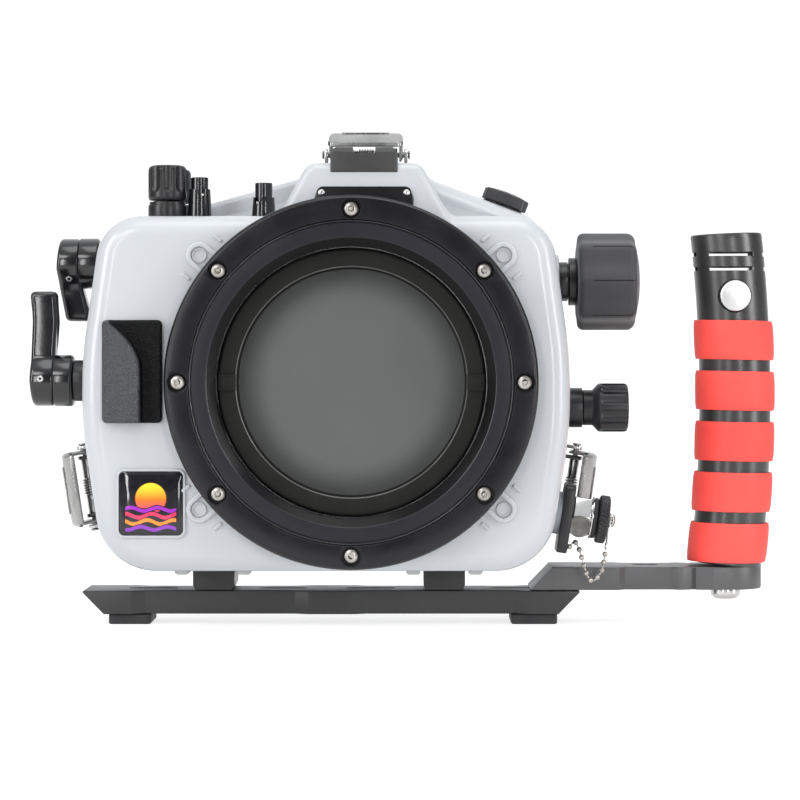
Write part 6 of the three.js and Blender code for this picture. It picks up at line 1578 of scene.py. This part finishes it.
# %% Bracket and bulkhead
on_wall = Matrix.Translation((103.89, 43, -67)) @ Matrix.Rotation(math.radians(98.67), 4, "Y")
chrome = make_finish("chrome", (0.46, 0.455, 0.45), (0.58, 0.575, 0.57), (0.06, 0.12), metal=1.0, drift=80,
                     smudge=250, grain=1500, bump=0.04, bump_height=0.00005)
washer_grey = make_finish("washer_grey", (0.24, 0.26, 0.29), (0.3, 0.32, 0.35), (0.32, 0.42), grain=1800, bump=0.2)
bore = turned([(0, 0), (8.3, 0), (8.3, 20), (0, 20)], 48)
screw_hole = turned([(0, 6), (2.6, 6), (2.6, 20), (0, 20)], 24)
bracket = carved(slab(rectangle(-15.6, 19.8, -12.5, 12.5, 4), 3.3, 8.7, 0.7, 0.7, 8), bore,
                 *[shifted(screw_hole, 15, side * 7.5, 0) for side in (-1, 1)])
piece("connector_bracket_milled", moved(bracket, on_wall), plastic_black, "housing",
      ["connector_bracket"])
washer = lathe([(8.3, 0.3), (11, 0.3), (11, 3.3), (8.3, 3.3)], 0.3, closed=True)
piece("connector_washer", moved(washer, on_wall), washer_grey, "housing")

flats = [(11 * math.cos(a), 11 * math.sin(a), 0.5) for a in np.radians(30 + 60 * np.arange(6))]
neck = [(0, 17.9, 0), (9.3, 17.9), (9.3, 18.7, 0.1), (10.9, 18.7), (10.9, 19.5), (0, 19.5, 0)]
inside = [(0, -14.0, 0), (8.0, -14.0), (8.0, -9.9, 0.1), (5.4, -9.9, 0.1), (5.4, 9.2), (0, 9.2, 0)]
body_form = together(slab(flats, 9.0, 18.2, 0.9, 0.5, 4), lathe(neck, 0.25, 3, 72), lathe(inside, 0.3, 3, 48))
piece("connector_body_turned", moved(body_form, on_wall), chrome, "housing", ["connector_bulkhead"],
      sharp=28)
disc_place = on_wall @ standing_on((4.9, 0, 13), (0, -1, 0), (1, 0, 0))
gunmetal = make_finish("gunmetal", (0.1, 0.098, 0.095), (0.16, 0.157, 0.15), (0.26, 0.38), metal=0.9, drift=200,
                       grain=2500, bump_height=0.00006)
disc = [(0, 8.9, 0), (5.6, 8.9), (5.6, 12.0), (5.1, 12.0, 0.2), (4.8, 11.7, 0.2), (0, 11.7, 0)]
piece("connector_disc", moved(lathe(disc, 0.3, 3, 56), disc_place), gunmetal, "housing")
seal = lathe([(0, 19.5, 0), (10.2, 19.5), (10.5, 20.6), (10.2, 21.8), (0, 21.8, 0)])
piece("connector_seal", moved(seal, on_wall), rubber_black, "housing")

# %% [markdown]
# A diamond knurl is two sets of slanting grooves that cross. On a cylinder both are the same triangle wave of
# the angle plus or minus the height, so the lower of the two waves gives the radius at every point of a grid.

# %% Knurled cap, rivet and swivel


def knurled(radius, low, high, count, depth, sides, rows):
    def wave(t):
        return abs(((t % 1) + 1) % 1 - 0.5) * 2
    rings = [[(x, y, low) for x, y in circle(radius - 1.3, sides)]]
    for j in range(rows + 1):
        h = low + 0.35 + (high - low - 0.7) * j / rows
        fade = min(1, min(j, rows - j) / 2)
        ring = []
        for i in range(sides):
            turn = i / sides
            slant = (h - low) / 3.4
            lower = min(wave(count * turn + slant), wave(count * turn - slant))
            cut = 1 - min(lower * 2.2, 1)
            reach = radius - depth * cut - 0.5 * (1 - fade)
            ring.append((reach * math.cos(2 * math.pi * turn), reach * math.sin(2 * math.pi * turn), h))
        rings.append(ring)
    rings.append([(x, y, high) for x, y in circle(radius - 1.3, sides)])
    return lofted(rings)


cap = knurled(12.35, 22.15, 27.65, 32, 0.55, 320, 18)
piece("connector_cap_knurled", moved(cap, on_wall), plastic_black, "connector_cap",
      ["connector_cap"], sharp=50)
rivet = [(0, 27.0, 0), (1.8, 27.0), (1.8, 29.8, 0.1), (3.4, 29.9), (3.4, 30.6, 0.3), (2.2, 31.5, 0.5), (0, 31.6, 0)]
piece("connector_cap_rivet", moved(lathe(rivet, 0.25, 4, 36), on_wall), chrome, "connector_cap")
loop = [(x, y, 28.8) for x, y in circle(3.3, 36)]
eye = [(13.1 + x, y, 28.8) for x, y in circle(1.7, 28)]
stem = [(3.4, 0, 28.8), (7, 0.3, 28.8), (11.5, 0, 28.8)]
swivel = together(tube(loop, 0.5, 10, True), tube(stem, 0.5, 10), tube(eye, 0.55, 10, True))
piece("swivel_wire", moved(swivel, on_wall), chrome, "cap_swivel_ring", ["cap_swivel_ring"])

# %% [markdown]
# The bead chain hangs in a short loop between the bracket's foot and the swivel. It follows a path, so a tree
# measures beads out along it and runs a thin wire through them. Pitch, bead and wire sizes are its inputs.

# %% Bead chain by Geometry Nodes


def chain_tree():
    tree, given = new_tree("bead_chain", dict.fromkeys(("Pitch", "Bead", "Wire"), "Float"))
    curve, spots, ball, beads = some_nodes(tree, "MeshToCurve", "CurveToPoints", "MeshIcoSphere", "InstanceOnPoints")
    section, wire, joined = some_nodes(tree, "CurvePrimitiveCircle", "CurveToMesh", "JoinGeometry")
    spots.mode = "LENGTH"
    ball.inputs["Subdivisions"].default_value, section.inputs["Resolution"].default_value = 3, 8
    wire.inputs["Fill Caps"].default_value = True
    linked(tree, (given["Geometry"], curve, "Mesh"), (curve.outputs["Curve"], spots, "Curve"),
           (given["Pitch"], spots, "Length"), (given["Bead"], ball, "Radius"),
           (spots.outputs["Points"], beads, "Points"), (ball.outputs["Mesh"], beads, "Instance"),
           (given["Wire"], section, "Radius"), (curve.outputs["Curve"], wire, "Curve"),
           (section.outputs["Curve"], wire, "Profile Curve"), (beads.outputs["Instances"], joined, "Geometry"),
           (wire.outputs["Mesh"], joined, "Geometry"))
    return painted_result(tree, joined.outputs["Geometry"], given["Finish"])


def through(points, steps=10):
    """A smooth path through points, by Catmull and Rom's rule."""
    line = [Vector(p) for p in points]
    line = [line[0] * 2 - line[1], *line, line[-1] * 2 - line[-2]]
    path = []
    for a, b, c, d in zip(line, line[1:], line[2:], line[3:]):
        square, cube = a * 2 - b * 5 + c * 4 - d, b * 3 - a - c * 3 + d
        path += [tuple((b * 2 + (c - a) * t + square * t ** 2 + cube * t ** 3) / 2)
                 for t in np.linspace(0, 1, steps, endpoint=False)]
    return path + [tuple(points[-1])]


chain_route = [(111.5, -84.9), (114.2, -82.4), (116.3, -85.6), (118.6, -92.9), (121, -100.2), (123.6, -102.4),
               (126.6, -99.8), (128.6, -96), (129.9, -88.7)]
chain_path = through([(x, 43, z) for x, z in chain_route])
chain_line = chain_path, [(i, i + 1) for i in range(len(chain_path) - 1)], []
grown("bead_chain", chain_tree(), {"Pitch": 3.9, "Bead": 1.38, "Wire": 0.4}, Matrix.Identity(4), screw_steel, "housing",
      ["cap_chain"], lines=chain_line)
print("chain of", round(sum(math.dist(a, b) for a, b in zip(chain_path, chain_path[1:])), 1), "mm")

# %% [markdown]
# ## Tray
# The tray is one long bar of anodised aluminium. Its long edges step inwards in two places, its ends are cut
# at a slant, and long slots take the screws. Its plan is stacked with bevelled edges, and the slanted ends come
# from an intersection with a second outline, seen from the front, as a bar stock is sawn.

# %% Bar, stepped edges and slots


TRAY_Y = 73     # middle of the tray and the handle, behind the port ring's front


def both_sides(front):
    """A plan from its front edge, with the same edge mirrored at the back."""
    return front + [(x, -y, r) for x, y, r in reversed(front)]


def stepped_plan(left, right, half, steps, slope, step):
    front = [(left, -half, 1.0)]
    for start, end in steps:
        front += [(start, -half, 0.8), (start + slope, step - half, 0.8), (end - slope, step - half, 0.8),
                  (end, -half, 0.8)]
    return both_sides(front + [(right, -half, 1.0)])


def sawn(plan, low, high, ends, slots):
    bar = shifted(slab(plan, low, high, 0.7, 0.7, 4, 3), 0, TRAY_Y, 0)
    bar = carved(bar, facing(ends, TRAY_Y - 28, TRAY_Y + 28, 0.1, 0.1, 3), operation="INTERSECT")
    tools = [slab(rectangle(x0, x1, TRAY_Y - w, TRAY_Y + w, w - 0.02), low - 2, high + 2, 0.1, 0.1, steps=8)
             for x0, x1, w in slots]
    return carved(bar, together(*tools))


tray_plan = stepped_plan(-140.4, 117.6, 20, [(-115, -23.3), (0.5, 91)], 7, 3.4)
tray_ends = [(-129.2, -120.6, 0.6), (106.4, -120.6, 0.6), (117.6, -109.2, 0.5), (117.6, -108.4, 0.3),
             (-140.4, -108.4, 0.3), (-140.4, -109.2, 0.5)]
tray_form = sawn(tray_plan, -120.6, -108.4, tray_ends, [(x - 13, x + 13, 3.3) for x in (-105, -37, 9, 84)])
piece("tray_bar", tray_form, tray_anodised, "housing", ["tray"], sharp=24)

arm_front = [(91.6, -20, 0.5), (137.6, -20, 1.2), (141.5, -16, 1.2), (165.4, -16, 1.2), (168.8, -18.6, 0.8),
             (171, -18.6, 0.6), (177.2, -15.6, 0.2), (177.9, -17.6, 0.4), (187, -18.6, 6), (213.8, -18.6, 18.3)]
arm_plan = both_sides(arm_front)
arm_ends = [(91.7, -108.1, 0.3), (300, -108.1, 0), (300, -96.2, 0), (103.2, -96.2, 0.5)]
arm_form = sawn(arm_plan, -108.1, -96.2, arm_ends, [(191.7, 198.7, 3.48), (146, 160, 3.3)])
piece("tray_arm", arm_form, arm_anodised, "housing", ["tray_extension"], sharp=24)

for name, x in (("left_mount_block", -72.4), ("right_mount_block", 47.3)):
    outline = [(x - 9.5, -108.1, 0.5), (x + 9.5, -108.1, 0.5), (x + 10.8, -105.5, 0.5), (x + 10.8, -96.1, 0.4),
               (x - 10.8, -96.1, 0.4), (x - 10.8, -105.5, 0.5)]
    piece(name + "_milled", facing(outline, 55, 91, 0.5, 0.5, 3), plastic_black, "housing", [name])
for name, left, right in (("left_tray_foot", -127, -105), ("right_tray_foot", 82, 106)):
    pad = slab(rectangle(left, right, 55, 91, 2.2), -125.9, -120.9, 0.9, 0.3, 6, 3)
    piece(name + "_pad", pad, rubber_black, "housing", [name])
print("tray sawn")

# %% [markdown]
# ## Handle
# The handle is a slightly bowed tube, so rings of points follow an arc and turn with it. At the top they turn
# inwards and go down again as the bore, which makes one closed wall with no boolean. The slots near the top
# are sawn straight through that wall, so light from behind shows in them.

# %% Bowed tube
BOW_RADIUS, BOW_MIDDLE = 778.4, -8.7    # radius of the arc, and the height of its furthest point
HANDLE_X = 195.2                        # the bolt under the handle
HANDLE_TOP = 77.2


def bow(z):
    """Middle of the handle at a height, and how far it leans there."""
    rise = z - BOW_MIDDLE
    return HANDLE_X + math.sqrt(BOW_RADIUS ** 2 - rise ** 2) - (BOW_RADIUS - 4.9), -math.asin(rise / BOW_RADIUS)


def on_bow(z, along=0.0, turn=0.0):
    x, lean = bow(z)
    return Matrix.Translation((x, TRAY_Y, z)) @ Matrix.Rotation(lean + turn, 4, "Y") @ Matrix.Translation((0, 0, along))


stations = [(17.9, -95.9, 0), (18.6, -95.2, 0)] + [(18.6, z, 0) for z in np.linspace(-85, 73.5, 25)]
stations += [(r, HANDLE_TOP, along) for r, along in ((18.6, -0.8), (18.35, -0.25), (17.9, 0), (13.4, 0), (12.9, -0.25),
                                                     (12.8, -0.7))] + [(12.8, 78.5, -62)]
tube_rings = []
for radius, z, along in stations:
    level = on_bow(z, along, 0.07 if z == HANDLE_TOP else 0)
    tube_rings.append([tuple(level @ Vector((x, y, 0))) for x, y in circle(radius, 96)])
tube_form = lofted(tube_rings)
saws = []
for z in (66.5, 58.9):
    for x0, x1, y0, y1 in ((185, 208.4, 30, 66.6), (185, 208.4, 79.4, 110), (170, 182.6, 66, 80), (211.2, 225, 66, 80)):
        saws.append(block(x0, x1, y0, y1, z - 1.1, z + 1.1, 0.1, 0.1))
button_steel = make_finish("button_steel", (0.5, 0.5, 0.5), (0.66, 0.66, 0.65), (0.28, 0.38), metal=0.5,
                           drift=120, smudge=300, grain=2500, bump=0.05, bump_height=0.00005)
button_x, button_z = bow(44.6)[0], 44.6
on_handle = toward_lens(button_x, TRAY_Y, button_z)
saws.append(moved(turned([(0, 5), (8.75, 5), (8.75, 40), (0, 40)], 64), on_handle))
tube_form = carved(tube_form, together(*saws))
piece("handle_tube_turned", tube_form, tube_anodised, "housing", ["handle_tube"], sharp=26)

bolt = [(0, -113.8, 0), (5.6, -113.8), (7.9, -111.6), (7.9, -108.4), (3.2, -108.4, 0.1), (3.2, -92.5), (0, -92.5, 0)]
bolt = shifted(carved(lathe(bolt, 0.5, 4, 48), hexagon(3, -116, -111.2)), HANDLE_X, TRAY_Y, 0)
piece("handle_bolt", bolt, stainless, "housing")
button_face = [(0, 17.1, 0), (8.5, 17.1, 0.3), (8.5, 19.6, 0.4), (7.4, 20.6, 0.6), (3.5, 20.9, 2), (0, 21.0, 0)]
button = turned([(0, 11), (8.5, 11)] + softened(button_face, 0.5, 4)[1:], 72)
handle_button = piece("handle_button_turned", moved(button, on_handle), button_steel, "handle_button",
                      ["handle_button"])
# The outermost ring is dark, as the shaded gap round the button.
repainted(handle_button, [gloss_black],
          lambda place, _: 1 if math.hypot(place.x - button_x, place.z - button_z) > 7.9 else 0)
print("handle leans", round(math.degrees(bow(78.5)[1]), 1), "degrees at the top")

# %% [markdown]
# The five grips are soft coral rubber rings, slightly squeezed where they sit, so their edges are generously
# round and their outside is a little barrel-shaped. Each layer of a ring is centred on the bow at its own
# height but lies almost level, because soft rings slip and do not stay square to a bent tube.

# %% Grip rings
for number, z in enumerate((21.65, -4.75, -31.15, -57.55, -83.95), 1):
    profile = [(19.3, -10.2, 0.6), (20.3, -10.25, 1.6), (20.75, -7.5, 2.0), (20.9, 0, 6), (20.75, 7.5, 2.0),
               (20.3, 10.25, 1.6), (19.3, 10.2, 0.6)]
    upright, faces = lathe(profile, 0.5, 5, 96, closed=True)
    ring = [(bow(z + h)[0] + x, TRAY_Y + y, z + h - 0.02 * x) for x, y, h in upright], faces
    piece(f"grip_ring_{number}", ring, foam_coral, "housing", [f"handle_grip_{number}"], sharp=60)
print("five grip rings")

# %% [markdown]
# ## Clear back
# The back is one thick shell of clear acrylic: a flange that the latches pull against the front shell, a groove
# with a black sealing ring, and a dome with a rounded rim. It has the shell's own outline, so the same rule gives
# its rings, only nearer the middle. The window and the control bosses are joined to it with a boolean.

# %% Cover and seal


BACKWARD = Matrix(((1, 0, 0, 0), (0, 0, 1, 0), (0, -1, 0, 0), (0, 0, 0, 1)))   # local Z looks to the back
REAR_BUTTONS, REAR_DIAL = [(-72, 38), (-72, 14), (-56, -58)], (-74, -22)


def at_the_back(form, x, z):
    return shifted(moved(form, BACKWARD), x, 0, z)


def outline_ring(inset, y):
    """The shell's outline at its back, moved inwards."""
    return [(r * math.cos(a), y, r * math.sin(a)) for r, a in zip(skin(SHELL_BACK, True, inset), ANGLES)]


def cover_form():
    levels = [(15.5, 143.5), (13.2, 142.8), (11.5, 140.6), (11.5, 113), (11.8, 112.3), (4.6, 112.3), (4.6, 115.3),
              (0.6, 115.3), (0.6, 112.3), (-1.2, 112.3), (-1.5, 112.7), (-1.5, 117.5), (-1.0, 118), (6.6, 118),
              (7, 118.6)]
    levels += [(7 + 9 * (1 - math.cos(a)), 139 + 9 * math.sin(a)) for a in np.linspace(0, math.pi / 2, 9)]
    shell = lofted([outline_ring(inset, y) for inset, y in levels])
    frame_x, frame_z = (-13.7, 26.3), (80.15, 106.15)
    eyepiece = facing(rectangle(*frame_x, *frame_z, 4), -155, -144.5, 0.02, 0.8)
    eyepiece = [(x, -y, z) for x, y, z in eyepiece[0]], eyepiece[1]
    window = block(frame_x[0] + 4, frame_x[1] - 4, 148, 160, frame_z[0] + 4, frame_z[1] - 4, 0.3, 0.3)
    boss = turned([(0, 144.5), (7.5, 144.5), (7.5, 148.9), (7.2, 149.2), (0, 149.2)], 48)
    hole = turned([(0, 140), (1.9, 140), (1.9, 152), (0, 152)], 24)
    bosses, holes = ([at_the_back(form, x, z) for x, z in REAR_BUTTONS + [REAR_DIAL]] for form in (boss, hole))
    whole = carved(shell, eyepiece, *bosses, operation="UNION", solver="MANIFOLD")
    return carved(whole, window, *holes, solver="MANIFOLD")


piece("back_cover_moulded", cover_form(), clear_acrylic, "housing", ["back_cover"], sharp=35)
turns = np.linspace(0, 2 * math.pi, 13)
seal_rings = [outline_ring(2.6 - 1.6 * math.cos(t), 113.65 + 1.3 * math.sin(t)) for t in turns]
piece("back_seal", lofted(seal_rings, False, False), rubber_black, "housing", ["back_o_ring"], sharp=60)

# %% Rear buttons and dial
rear_button = [(0, 137.6, 0), (1.6, 137.6), (1.6, 152.5, 0.1), (5, 152.5), (5, 158, 0.7), (4.2, 158, 0.2),
               (3.6, 157.6, 0.4), (0, 157.5, 0)]
for number, spot in enumerate(REAR_BUTTONS, 1):
    name = f"rear_button_{number}"
    button = at_the_back(lathe(rear_button, 0.3, 4, 48), *spot)
    piece(name + "_turned", button, lever_black, name, [name])
dial = [(0, 149.5, 0), (12.2, 149.5), (13, 150.6), (13, 159.4, 1.2), (10.5, 159.4, 0.2), (9.9, 158.8, 0.3),
        (0, 158.8, 0)]
dial = carved(lathe(dial, 0.3, 4, 72), *scoops(13, 12, 4.2, 0.9, 146, 165))
dial = together(dial, rod(1.6, 137.8, 150), rod(9, 137.6, 140, 40))
piece("rear_dial_fluted", at_the_back(dial, *REAR_DIAL), plastic_black, "rear_dial", ["rear_dial"],
      sharp=28)
print("back closed")

# %% Finish
for obj in list(bpy.data.objects):
    if obj.type == "MESH" and not obj.hide_render and len(obj.data.materials) == 0:
        print("no finish on", obj.name)
